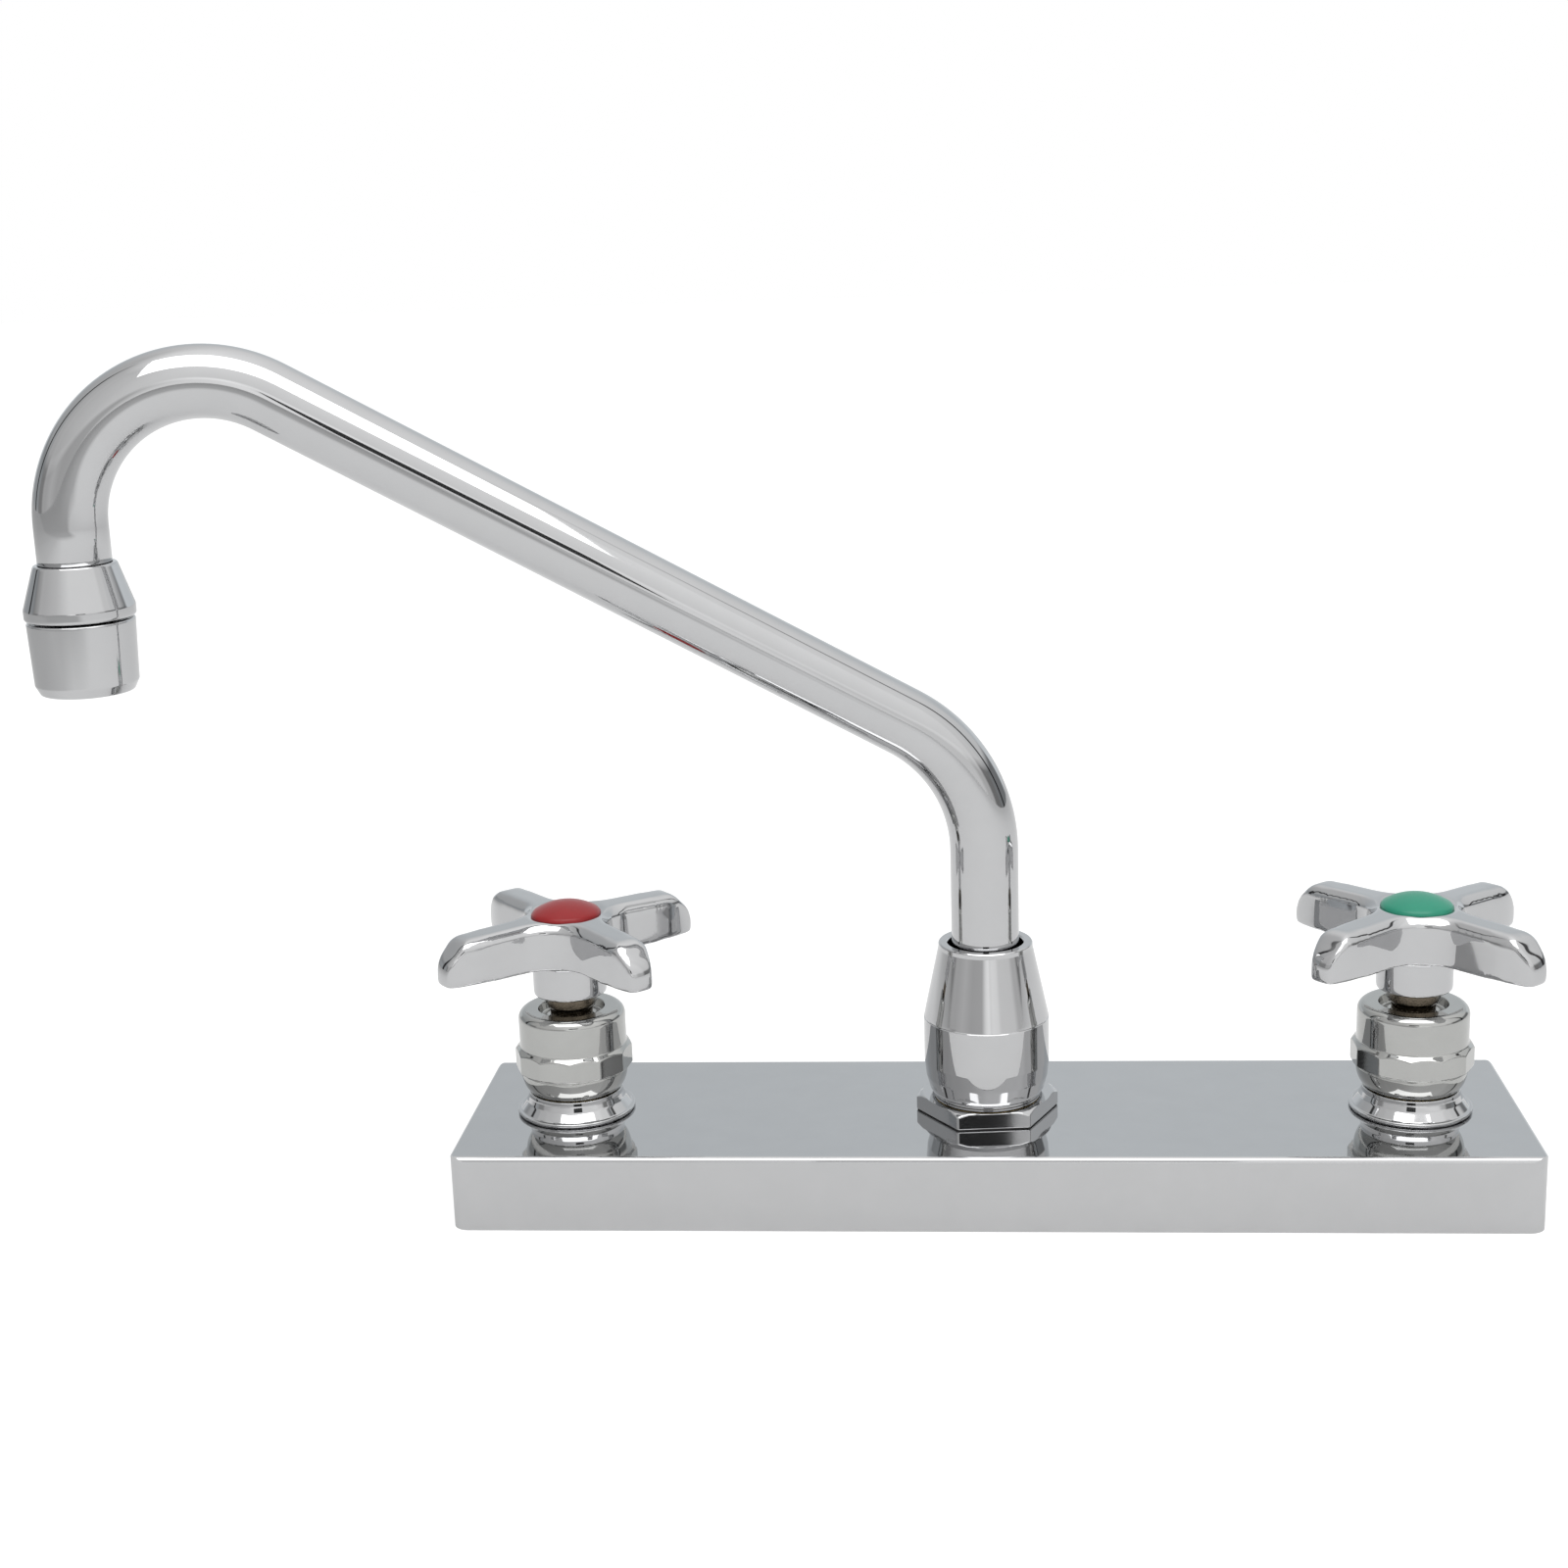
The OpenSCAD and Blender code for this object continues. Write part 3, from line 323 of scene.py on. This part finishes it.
def material(name, colour, roughness, grain, metallic=0, spread=0.2, bump=0, bump_grain=0, mottle=0.06,
             coat=0, specular=0.5):
    """A surface whose tone, gloss and relief vary at the scale of its real finish."""
    mat = bpy.data.materials.new(name)
    tree = nodes_of(mat)
    link = tree.links.new
    place = tree.nodes.new("ShaderNodeTexCoord").outputs["Object"]
    fine = add(tree, "ShaderNodeTexNoise", Scale=grain, Detail=4.0, Roughness=0.6)
    link(place, fine.inputs["Vector"])
    shader = add(tree, "ShaderNodeBsdfPrincipled", Metallic=metallic, Coat_Weight=coat,
                 Coat_Roughness=COAT_ROUGHNESS, Specular_IOR_Level=specular)
    darker = tuple(tone * (1 - mottle) for tone in colour)
    paler = tuple(min(1, tone * (1 + mottle)) for tone in colour)
    link(ramp(tree, fine.outputs["Fac"], [(LOW_NOISE, darker), (HIGH_NOISE, paler)]),
         shader.inputs["Base Color"])
    link(ramp(tree, fine.outputs["Fac"], [(LOW_NOISE, roughness * (1 - spread)),
                                          (HIGH_NOISE, roughness * (1 + spread))]),
         shader.inputs["Roughness"])
    if bump:
        relief = add(tree, "ShaderNodeTexNoise", Scale=bump_grain, Detail=3.0)
        link(place, relief.inputs["Vector"])
        node = add(tree, "ShaderNodeBump", Strength=bump, Distance=BUMP_DEPTH * MM)
        link(relief.outputs["Fac"], node.inputs["Height"])
        link(node.outputs["Normal"], shader.inputs["Normal"])
    link(shader.outputs[0], tree.nodes.new("ShaderNodeOutputMaterial").inputs["Surface"])
    return mat


MATERIALS = {name: material(name, **finish) for name, finish in FINISHES.items()}

for entry in frame["record"]["subparts"]:
    obj = frame["nodes"][entry["node"]]
    obj.data.materials.clear()
    obj.data.materials.append(MATERIALS[entry["material_slot"]])


# The photographer's dark camera, as ranges over x, y and z
STUDIO_CAMERA = ((-80, 118), (-548, -580), (188, 282))


def studio_camera():
    """The dark box before the faucet, which only the chrome sees."""
    xs, ys, zs = ([end * MM for end in ends] for ends in STUDIO_CAMERA)
    mesh = bpy.data.meshes.new("studio_camera")
    mesh.from_pydata([(x, y, z) for x in xs for y in ys for z in zs], [],
                     [(0, 1, 3, 2), (4, 6, 7, 5), (0, 4, 5, 1), (2, 3, 7, 6), (0, 2, 6, 4), (1, 5, 7, 3)])
    obj = bpy.data.objects.new("studio_camera", mesh)
    scene.collection.objects.link(obj)
    mesh.materials.append(MATERIALS["black_rubber"])
    obj.visible_camera = False
    obj.visible_shadow = False
    obj.visible_diffuse = False


studio_camera()


# Mesh tools. A round takes no more than the first share of the straight run beside it, and no more than the
# second share of what is left is held straight
WELD = 0.0001
CORNER_SHARE = 0.45
HELD_SHARE = 0.3


def piece(name, verts, faces, body, node, slot, finish=None):
    """A mesh in millimetres that rides with a body and, if a node is named, stands for it."""
    mesh = bpy.data.meshes.new(name)
    mesh.from_pydata([tuple(c * MM for c in vert) for vert in verts], [], faces)
    build = bmesh.new()
    build.from_mesh(mesh)
    bmesh.ops.remove_doubles(build, verts=build.verts, dist=WELD * MM)
    bmesh.ops.recalc_face_normals(build, faces=build.faces)
    build.to_mesh(mesh)
    build.free()
    mesh.shade_smooth()
    obj = bpy.data.objects.new(name, mesh)
    scene.collection.objects.link(obj)
    mesh.materials.append(MATERIALS[finish or slot])
    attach(obj, body)
    if node:
        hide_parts(node)
    return obj


def spaced(start, end, steps):
    """Even steps from start to end, both included."""
    return [start + (end - start) * k / steps for k in range(steps + 1)]


def arc(centre, radius, start, end, steps):
    """Points along a circle."""
    x, y = centre
    angles = [math.radians(angle) for angle in spaced(start, end, steps)]
    return [(x + radius * math.cos(angle), y + radius * math.sin(angle)) for angle in angles]


def soften(corners, steps=5, hold=0.25):
    """A closed outline from corners (r, z, radius): each is rounded, and straight runs are held straight."""
    outline = []
    for i, (x, y, radius) in enumerate(corners):
        if radius <= 0:
            outline.append((x, y))
            continue
        here = Vector((x, y))
        before = Vector(corners[i - 1][:2]) - here
        after = Vector(corners[(i + 1) % len(corners)][:2]) - here
        before_length, after_length = before.length, after.length
        before.normalize()
        after.normalize()
        half = before.angle(after) / 2
        cut = min(radius / math.tan(half), CORNER_SHARE * before_length, CORNER_SHARE * after_length)
        radius = cut * math.tan(half)
        centre = here + (before + after).normalized() * radius / math.sin(half)
        start, end = here + before * cut - centre, here + after * cut - centre
        sweep = math.atan2(start.x * end.y - start.y * end.x, start.dot(end))
        held = min(hold, cut)
        outline.append(tuple(here + before * (cut + min(held, HELD_SHARE * (before_length - cut)))))
        for angle in spaced(0, sweep, steps):
            outline.append((centre.x + start.x * math.cos(angle) - start.y * math.sin(angle),
                            centre.y + start.x * math.sin(angle) + start.y * math.cos(angle)))
        outline.append(tuple(here + after * (cut + min(held, HELD_SHARE * (after_length - cut)))))
    return outline


def turned(name, outline, place, body, node, slot, segments=128, reshape=None, finish=None):
    """A closed outline (r, z) turned about an upright axis; reshape(r, z, angle in radians) may change r."""
    verts, faces = [], []
    rows = len(outline)
    for j in range(segments):
        angle = FULL_TURN * j / segments
        for r, z in outline:
            if reshape:
                r = reshape(r, z, angle)
            verts.append((place[0] + r * math.cos(angle), place[1] + r * math.sin(angle), z))
    for j in range(segments):
        k = (j + 1) % segments
        for i in range(rows):
            n = (i + 1) % rows
            faces.append((j * rows + i, j * rows + n, k * rows + n, k * rows + i))
    return piece(name, verts, faces, body, node, slot, finish)


def polygon_face(corner_r, sides, turn, angle):
    """The radius of a polygon's flat side at an angle in radians."""
    half = 180 / sides
    off_middle = (math.degrees(angle) - turn) % (2 * half) - half
    return corner_r * math.cos(math.radians(half)) / math.cos(math.radians(off_middle))


# The spout. Its turn is in radians: at rest it stands 9.6 degrees from the left toward the user
SPOUT_TURN = math.radians(180 + 9.6)
SPOUT_R, SPOUT_INNER_R = 8.1, 6.9
RISER_TOP = 83.8
LOWER_BEND, UPPER_BEND = 37.3, 30.5
ARM_SLOPE, ARM_LENGTH = 30, 161.3
BEND_HOLD = 0.3
COLLAR_FOOT, COLLAR_TOP = foot("outlet_collar"), top("outlet_collar")
TUBE_IN_COLLAR = 6.1
SPOUT_END = COLLAR_TOP - TUBE_IN_COLLAR
SPOUT_FACES = 96


def bend(centre, radius, start, end, steps):
    """Stations (out, up, tangent angle) round a bend that turns downward."""
    places = arc(centre, radius, start, end, steps)
    return [(out, up, angle - 90) for (out, up), angle in zip(places, spaced(start, end, steps))]


def spout_route():
    """The tube's centre line as stations (out, up, tangent angle) in the spout's upright plane."""
    across, rise = math.cos(math.radians(ARM_SLOPE)), math.sin(math.radians(ARM_SLOPE))
    route = [(0, level, 90) for level in spaced(foot("spout_tube"), RISER_TOP - BEND_HOLD, 3)]
    route += bend((LOWER_BEND, RISER_TOP), LOWER_BEND, 180, 90 + ARM_SLOPE, 30)
    out, up, _ = route[-1]
    route += [(out + run * across, up + run * rise, ARM_SLOPE)
              for run in spaced(BEND_HOLD, ARM_LENGTH - BEND_HOLD, 5)]
    out, up = out + ARM_LENGTH * across, up + ARM_LENGTH * rise
    centre = (out + UPPER_BEND * rise, up - UPPER_BEND * across)
    route += bend(centre, UPPER_BEND, 90 + ARM_SLOPE, 0, 48)
    route += [(centre[0] + UPPER_BEND, level, -90) for level in (centre[1] - BEND_HOLD, SPOUT_END)]
    return route


def spout_skin(route):
    verts, faces = [], []
    for out, up, tangent in route:
        tilt = math.radians(tangent)
        for r in (SPOUT_R, SPOUT_INNER_R):
            for k in range(SPOUT_FACES):
                angle = FULL_TURN * k / SPOUT_FACES
                side, over = r * math.cos(angle), r * math.sin(angle)
                away, level = out - over * math.sin(tilt), up + over * math.cos(tilt)
                verts.append((away * math.cos(SPOUT_TURN) - side * math.sin(SPOUT_TURN),
                              away * math.sin(SPOUT_TURN) + side * math.cos(SPOUT_TURN), level))
    ring = 2 * SPOUT_FACES
    for k in range(SPOUT_FACES):
        n = (k + 1) % SPOUT_FACES
        for i in range(len(route) - 1):
            for wall in (0, SPOUT_FACES):
                a, b = i * ring + wall + k, i * ring + wall + n
                faces.append((a, b, b + ring, a + ring))
        for i in (0, len(route) - 1):
            a, b = i * ring + k, i * ring + n
            faces.append((a, b, b + SPOUT_FACES, a + SPOUT_FACES))
    piece("spout_skin", verts, faces, "spout", "spout_tube", "chrome_plate")


def collar(place):
    """The collar on the tube's end."""
    bore, neck_r, collar_r, thread_r, skirt_height = 8.15, 9.1, 12.2, 10.3, 2.46
    outside = [(bore, COLLAR_TOP, 0.15), (neck_r, COLLAR_TOP, 0.5),
               (collar_r, COLLAR_FOOT + skirt_height, 1.6), (collar_r, COLLAR_FOOT, 0.7)]
    inside = [(thread_r, COLLAR_FOOT, 0.1), (thread_r, SPOUT_END, 0), (bore, SPOUT_END, 0)]
    turned("collar_skin", soften(outside + inside), place, "spout", "outlet_collar", "chrome_plate")


def shell(place):
    """The aerator's shell, whose neck goes up into the collar."""
    low, high, step = foot("aerator_shell"), top("aerator_shell"), COLLAR_FOOT - 0.4
    bore, neck_r, shell_r, mouth_r, bevel, lip = 9.1, 10.2, 11.9, 8.4, 2.2, 1.4
    outside = [(bore, high, 0), (neck_r, high, 0.2), (neck_r, step, 0), (shell_r, step, 0.5),
               (11.4, low + bevel, 0.6), (10.3, low, 0.5)]
    inside = [(mouth_r, low, 0.3), (mouth_r, low + lip, 0.1), (bore, low + lip, 0)]
    turned("shell_skin", soften(outside + inside), place, "spout", "aerator_shell", "chrome_plate")


route = spout_route()
reach = route[-1][0]
outlet = (reach * math.cos(SPOUT_TURN), reach * math.sin(SPOUT_TURN))
spout_skin(route)
collar(outlet)
shell(outlet)


# The centre post
POST_NUT_CORNER_R, POST_NUT_CORE = 17.4, 12.75
POST_NUT_TURN = 5.5
# The gap under the nut, and the height of the black ring of painted shadow in it
POST_NUT_GAP, PAINTED_SHADOW_HEIGHT = 0.4, 0.36


def spout_nut():
    """A rounded bowl, a band with a fine groove over it, a cone, and a lip round the tube."""
    low, high = foot("spout_nut"), top("spout_nut")
    ledge, band = low + 17.25, low + 18.65
    thread_r, nut_r, hole_r = 12.6, 15.1, 9.0
    bowl = [(13.4, low, 0.3), (13.9, low + 0.9, 0.5), (14.75, low + 4.1, 3.0), (nut_r, low + 7.8, 3.0)]
    groove = [(nut_r, band, 0.12), (14.98, band + 0.15, 0.05), (15.0, band + 0.35, 0.05),
              (14.9, band + 0.85, 0.5)]
    lip = [(11.35, high - 1.3, 0.4), (11.3, high - 0.3, 0.35), (11.0, high, 0.2), (9.35, high, 0.3),
           (hole_r, high - 0.4, 0.3)]
    outline = [(thread_r, ledge, 0), (thread_r, low, 0)] + bowl + groove + lip + [(hole_r, ledge, 0)]
    turned("spout_nut_skin", soften(outline, steps=8), (0, 0), "root", "spout_nut", "chrome_plate", 160)


def post_locknut():
    """The hexagonal nut, with both rims turned to a cone, over a narrow dark gap."""
    corner, low, high = POST_NUT_CORNER_R, foot("post_locknut"), top("post_locknut")
    bore, top_r, soft, rings = 12.6, 15.6, 0.05, 24
    upper_slope, upper_height, lower_slope, lower_height = 1.35, 0.95, 1.2, 0.5

    def hexagon(r, z, angle):
        if r < corner - 0.01 or z < low + POST_NUT_GAP:
            return r
        upper_cone = corner - 0.1 - upper_slope * max(0, z - (high - upper_height))
        lower_cone = corner - lower_slope * max(0, low + lower_height - z)
        cone = min(upper_cone, lower_cone, corner - 0.15)
        face = polygon_face(corner, 6, POST_NUT_TURN, angle)
        return -soft * math.log(math.exp(-face / soft) + math.exp(-cone / soft))

    inside = [(bore, low, 0), (POST_NUT_CORE, low, 0), (POST_NUT_CORE, low + POST_NUT_GAP, 0)]
    sides = [(corner, max(z, low + POST_NUT_GAP + 0.02), 0) for z in spaced(low, high, rings)[1:-1]]
    outline = soften(inside + sides + [(top_r, high, 0.15), (bore, high, 0.1)])
    turned("post_locknut_skin", outline, (0, 0), "root", "post_locknut", "chrome_plate", 720, hexagon)


def post_painted_shadow():
    """A black ring of painted shadow in the gap under the nut, set back from its faces."""
    setback, clear = 0.25, 0.01
    inner, outer = POST_NUT_CORE + clear, POST_NUT_CORNER_R - setback
    low = foot("post_locknut") + clear
    high = low + PAINTED_SHADOW_HEIGHT

    def hexagon(r, z, angle):
        return min(r, polygon_face(POST_NUT_CORNER_R, 6, POST_NUT_TURN, angle) - setback)

    # Black rubber here paints the shadow in the gap under the nut
    turned("post_painted_shadow_skin", [(inner, low), (outer, low), (outer, high), (inner, high)], (0, 0), "root", None,
           "black_rubber", 360, hexagon)


def post_neck():
    """The short collar seen between the post's nut and the spout nut."""
    clear, inner, outer = 0.05, 12.5, 12.9
    low, high = top("post_locknut") + clear, foot("spout_nut") - clear
    turned("post_neck_skin",
           soften([(inner, low, 0), (outer, low, 0.1), (outer, high - 0.35, 0.15), (12.65, high, 0.1),
                   (inner, high, 0)]),
           (0, 0), "root", None, "chrome_plate")


spout_nut()
post_locknut()
post_painted_shadow()
post_neck()


# The valves. Each has its place, its band's turn, its arms' turn in the CAD, and how far the arms of the
# photograph are turned beyond that
VALVE_CENTRES = 203.2
SIDES = {
    "hot": dict(place=-VALVE_CENTRES / 2, band_turn=5.4, arm_turn=-3.0, further=-2.0),
    "cold": dict(place=VALVE_CENTRES / 2, band_turn=18.0, arm_turn=-7.0, further=3.5),
}


BONNET_R, BONNET_GROOVE_R = 13.1, 12.95
BAND_CORNER_R, BAND_SIDES = 14.4, 12
BAND_START, BAND_END = 5.4, 11.8


def bonnet_bowl(edge):
    """The round bowl's corners, up to its edge under the band."""
    sweep, step, depth, inset = 64, 4, 4.95, 1.75
    full = math.radians(sweep)
    corners = []
    for degrees in range(sweep, 0, -step):
        angle = math.radians(degrees)
        corners.append((BONNET_R - inset * (1 - math.cos(angle)) / (1 - math.cos(full)),
                        edge - depth * math.sin(angle) / math.sin(full), 0))
    return corners


def bonnet_outline(low, high):
    """A bowl, a fine groove, a wall with a row for each step of the band, a dome and a shallow dish."""
    band, ledge, inner_ledge, dish = low + BAND_START, low + 11.7, low + 17.0, high - 2.1
    thread_r, stem_hole, inner_r = 9.9, 5.7, 8.6
    start = [(thread_r, ledge, 0), (thread_r, low, 0.2), (11.0, low, 0.3)]
    groove = [(BONNET_R, band - 0.1, 0), (BONNET_GROOVE_R, band - 0.05, 0), (BONNET_GROOVE_R, band + 0.05, 0),
              (BONNET_R, band + 0.12, 0)]
    dome = [(BONNET_R, high, 2.2), (8.2, high, 0.3)]
    mouth = [(7.6, dish, 0.4), (stem_hole, dish - 0.6, 0.1), (stem_hole, dish - 1.2, 0)]
    inside = [(inner_r, inner_ledge, 0), (inner_r, ledge, 0)]
    outline = soften(start + bonnet_bowl(band - 0.15) + groove + dome + mouth + inside, steps=10)
    last = max(i for i, (r, z) in enumerate(outline) if r > BONNET_GROOVE_R - 0.05 and z < band + 0.6)
    row, rows, dome_start = 0.2, 40, low + 16.4
    levels = [band + row * k for k in range(rows)]
    wall = [(BONNET_R, level) for level in levels if outline[last][1] < level < dome_start]
    return outline[:last + 1] + wall + outline[last + 1:]


def bonnet(side, place, band_turn):
    """The bonnet with its twelve-sided wrench band, whose two rims are turned to a cone."""
    node = side + "_bonnet"
    low, high = foot(node), top(node)
    band_low, band_high = low + BAND_START, low + BAND_END

    def wrench_band(r, z, angle):
        if r < BONNET_GROOVE_R - 0.05 or not band_low - 0.1 <= z <= band_high + 1.0:
            return r
        if z < band_low + 0.65:
            cone = BONNET_R + 2 * (z - band_low)
        else:
            cone = BAND_CORNER_R - max(0, z - (band_high - 1.3))
        return max(r, min(cone, polygon_face(BAND_CORNER_R, BAND_SIDES, band_turn, angle)))

    turned(side + "_bonnet_skin", bonnet_outline(low, high), (place, 0), "root", node, "chrome_plate", 360,
           wrench_band, "cast_chrome")


def flange(side, place):
    """A trumpet with a thin bead round its foot."""
    node = side + "_flange_nut"
    low, high = foot(node), top(node)
    bore, bead_r, step_r, neck_r = 9.9, 14.5, 13.75, 11.6
    turned(side + "_flange_skin",
           soften([(bore, low, 0), (13.6, low, 0.2), (step_r, low + 0.25, 0.1), (bead_r, low + 0.3, 0.3),
                   (bead_r, low + 1.1, 0.35), (step_r, low + 1.1, 0.15), (13.55, low + 1.25, 0.1),
                   (12.1, low + 3.1, 1.6), (neck_r, low + 4.5, 1.2), (neck_r, high, 0.2), (bore, high, 0)]),
           (place, 0), "root", node, "chrome_plate")


def button(side, place):
    """A domed button without letters."""
    rim = top(side + "_handle") + 0.05
    button_r, stud_r, rise = 8.45, 7.1, 2.7
    sphere_r = (button_r ** 2 + rise ** 2) / (2 * rise)
    reach = math.degrees(math.asin(button_r / sphere_r))
    crown = arc((0, rim + rise - sphere_r), sphere_r, 90 - reach, 90, 14)
    skirt = rim - 0.67
    outline = [(0.0, rim - 2.95), (stud_r, rim - 2.95), (stud_r, skirt), (8.2, skirt), (8.42, skirt + 0.12),
               (button_r, skirt + 0.32)] + crown[1:-1] + [(0.0, crown[-1][1])]
    turned(side + "_button_skin", outline, (place, 0), side + "_valve", side + "_button",
           "red_button" if side == "hot" else "green_button")


# The handles: the arms of the CAD solid, and what the cast ones have beyond them
HANDLE_REACH = 34.3
ARM_TOP = top("hot_handle")
ARM_FOOT = ARM_TOP - 11.7
WEB_REACH, DROOP = 9, 0.02
NOSE_START, NOSE_PROUD = 14, 0.3
CAD_NOSE = dict(low_round=2.2, high_round=8, high_start=ARM_TOP - 8)
CAST_NOSE = dict(low_round=0.8, high_round=12.5, high_start=ARM_TOP - 8.5)
TAPER_START, TAPER_SPAN, TAPER = 25.5, 9.1, 0.42
# The weight of the noses' own polish, and how far out it starts
NOSE_WEIGHTS = ((1.0, 25), (0.65, 24), (0.3, 23))
GROOVE_LEVEL, GROOVE_INNER, GROOVE_OUTER, GROOVE_EDGE, GROOVE_DEPTH = ARM_TOP - 3.3, 8.5, 9.3, 0.5, 0.45
VOXEL, QUICK_VOXEL = 0.38, 0.7
POLISH, QUICK_POLISH = 18, 5
NOSE_POLISH, QUICK_NOSE_POLISH = 40, 12


def nose_reach(level, low_round, high_round, high_start):
    """How far an arm reaches at a level: a small round below and an elliptic one above."""
    if level < ARM_FOOT + low_round:
        depth = ARM_FOOT + low_round - level
        return HANDLE_REACH - low_round + math.sqrt(max(0, low_round ** 2 - depth ** 2))
    rise = min(1, max(0, (level - high_start) / (ARM_TOP - high_start)))
    return HANDLE_REACH - high_round * (1 - math.sqrt(1 - rise * rise))


def cast_point(point, place, arm_turn, further):
    """A CAD point moved to the cast handle, and how far along its arm it lies there."""
    x, y, z = point.x / MM - place, point.y / MM, point.z / MM
    bearing = math.degrees(math.atan2(y, x)) - arm_turn - 45
    arm = arm_turn + 45 + 90 * round(bearing / 90)
    cosine, sine = math.cos(math.radians(arm)), math.sin(math.radians(arm))
    along, across = x * cosine + y * sine, y * cosine - x * sine
    on_arm = z > ARM_FOOT - 0.1
    if on_arm and along > WEB_REACH:
        z = ARM_FOOT + (z - ARM_FOOT) * (1 - DROOP * (along - WEB_REACH) / (ARM_TOP - ARM_FOOT))
    if on_arm and along > NOSE_START:
        cad, cast = nose_reach(z, **CAD_NOSE), nose_reach(z, **CAST_NOSE) + NOSE_PROUD
        along = NOSE_START + (along - NOSE_START) * (cast - NOSE_START) / (cad - NOSE_START)
        across *= 1 - TAPER * max(0, (along - TAPER_START) / TAPER_SPAN) ** 2
    from_axis = math.hypot(x, y)
    if z > GROOVE_LEVEL and from_axis > GROOVE_INNER:
        z -= GROOVE_DEPTH * max(0, min(1, (GROOVE_OUTER - from_axis) / GROOVE_EDGE))
    cosine, sine = math.cos(math.radians(arm + further)), math.sin(math.radians(arm + further))
    moved = ((place + along * cosine - across * sine) * MM, (along * sine + across * cosine) * MM, z * MM)
    return moved, along if on_arm else 0


def settled(obj):
    """The object's mesh with its modifiers applied, in place of the one before."""
    mesh = bpy.data.meshes.new_from_object(obj.evaluated_get(bpy.context.evaluated_depsgraph_get()))
    obj.modifiers.clear()
    obj.data = mesh
    return mesh


def smooth(obj, iterations, group=None):
    modifier = obj.modifiers.new("smooth", "SMOOTH")
    modifier.factor = 0.5
    modifier.iterations = iterations
    if group:
        modifier.vertex_group = group.name


def cast_handle(side, place, arm_turn, further):
    """The handle from the CAD solid: its arms droop to boat-shaped noses, and every edge is polished."""
    node = side + "_handle"
    obj = bpy.data.objects.new(node + "_skin", frame["nodes"][node].data.copy())
    scene.collection.objects.link(obj)
    remesh = obj.modifiers.new("remesh", "REMESH")
    remesh.mode = "VOXEL"
    remesh.voxel_size = VOXEL * MM
    dense = settled(obj)
    noses = {weight: [] for weight, _ in NOSE_WEIGHTS}
    for vertex in dense.vertices:
        vertex.co, along = cast_point(vertex.co, place, arm_turn, further)
        for weight, start in NOSE_WEIGHTS:
            if along > start:
                noses[weight].append(vertex.index)
                break
    group = obj.vertex_groups.new(name="noses")
    for weight, indices in noses.items():
        group.add(indices, weight, "REPLACE")
    smooth(obj, POLISH)
    smooth(obj, NOSE_POLISH, group)
    result = settled(obj)
    result.materials.clear()
    result.materials.append(MATERIALS["chrome_plate"])
    result.shade_smooth()
    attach(obj, side + "_valve")
    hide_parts(node)


for side, seat in SIDES.items():
    bonnet(side, seat["place"], seat["band_turn"])
    flange(side, seat["place"])
    button(side, seat["place"])
    cast_handle(side, seat["place"], seat["arm_turn"], seat["further"])
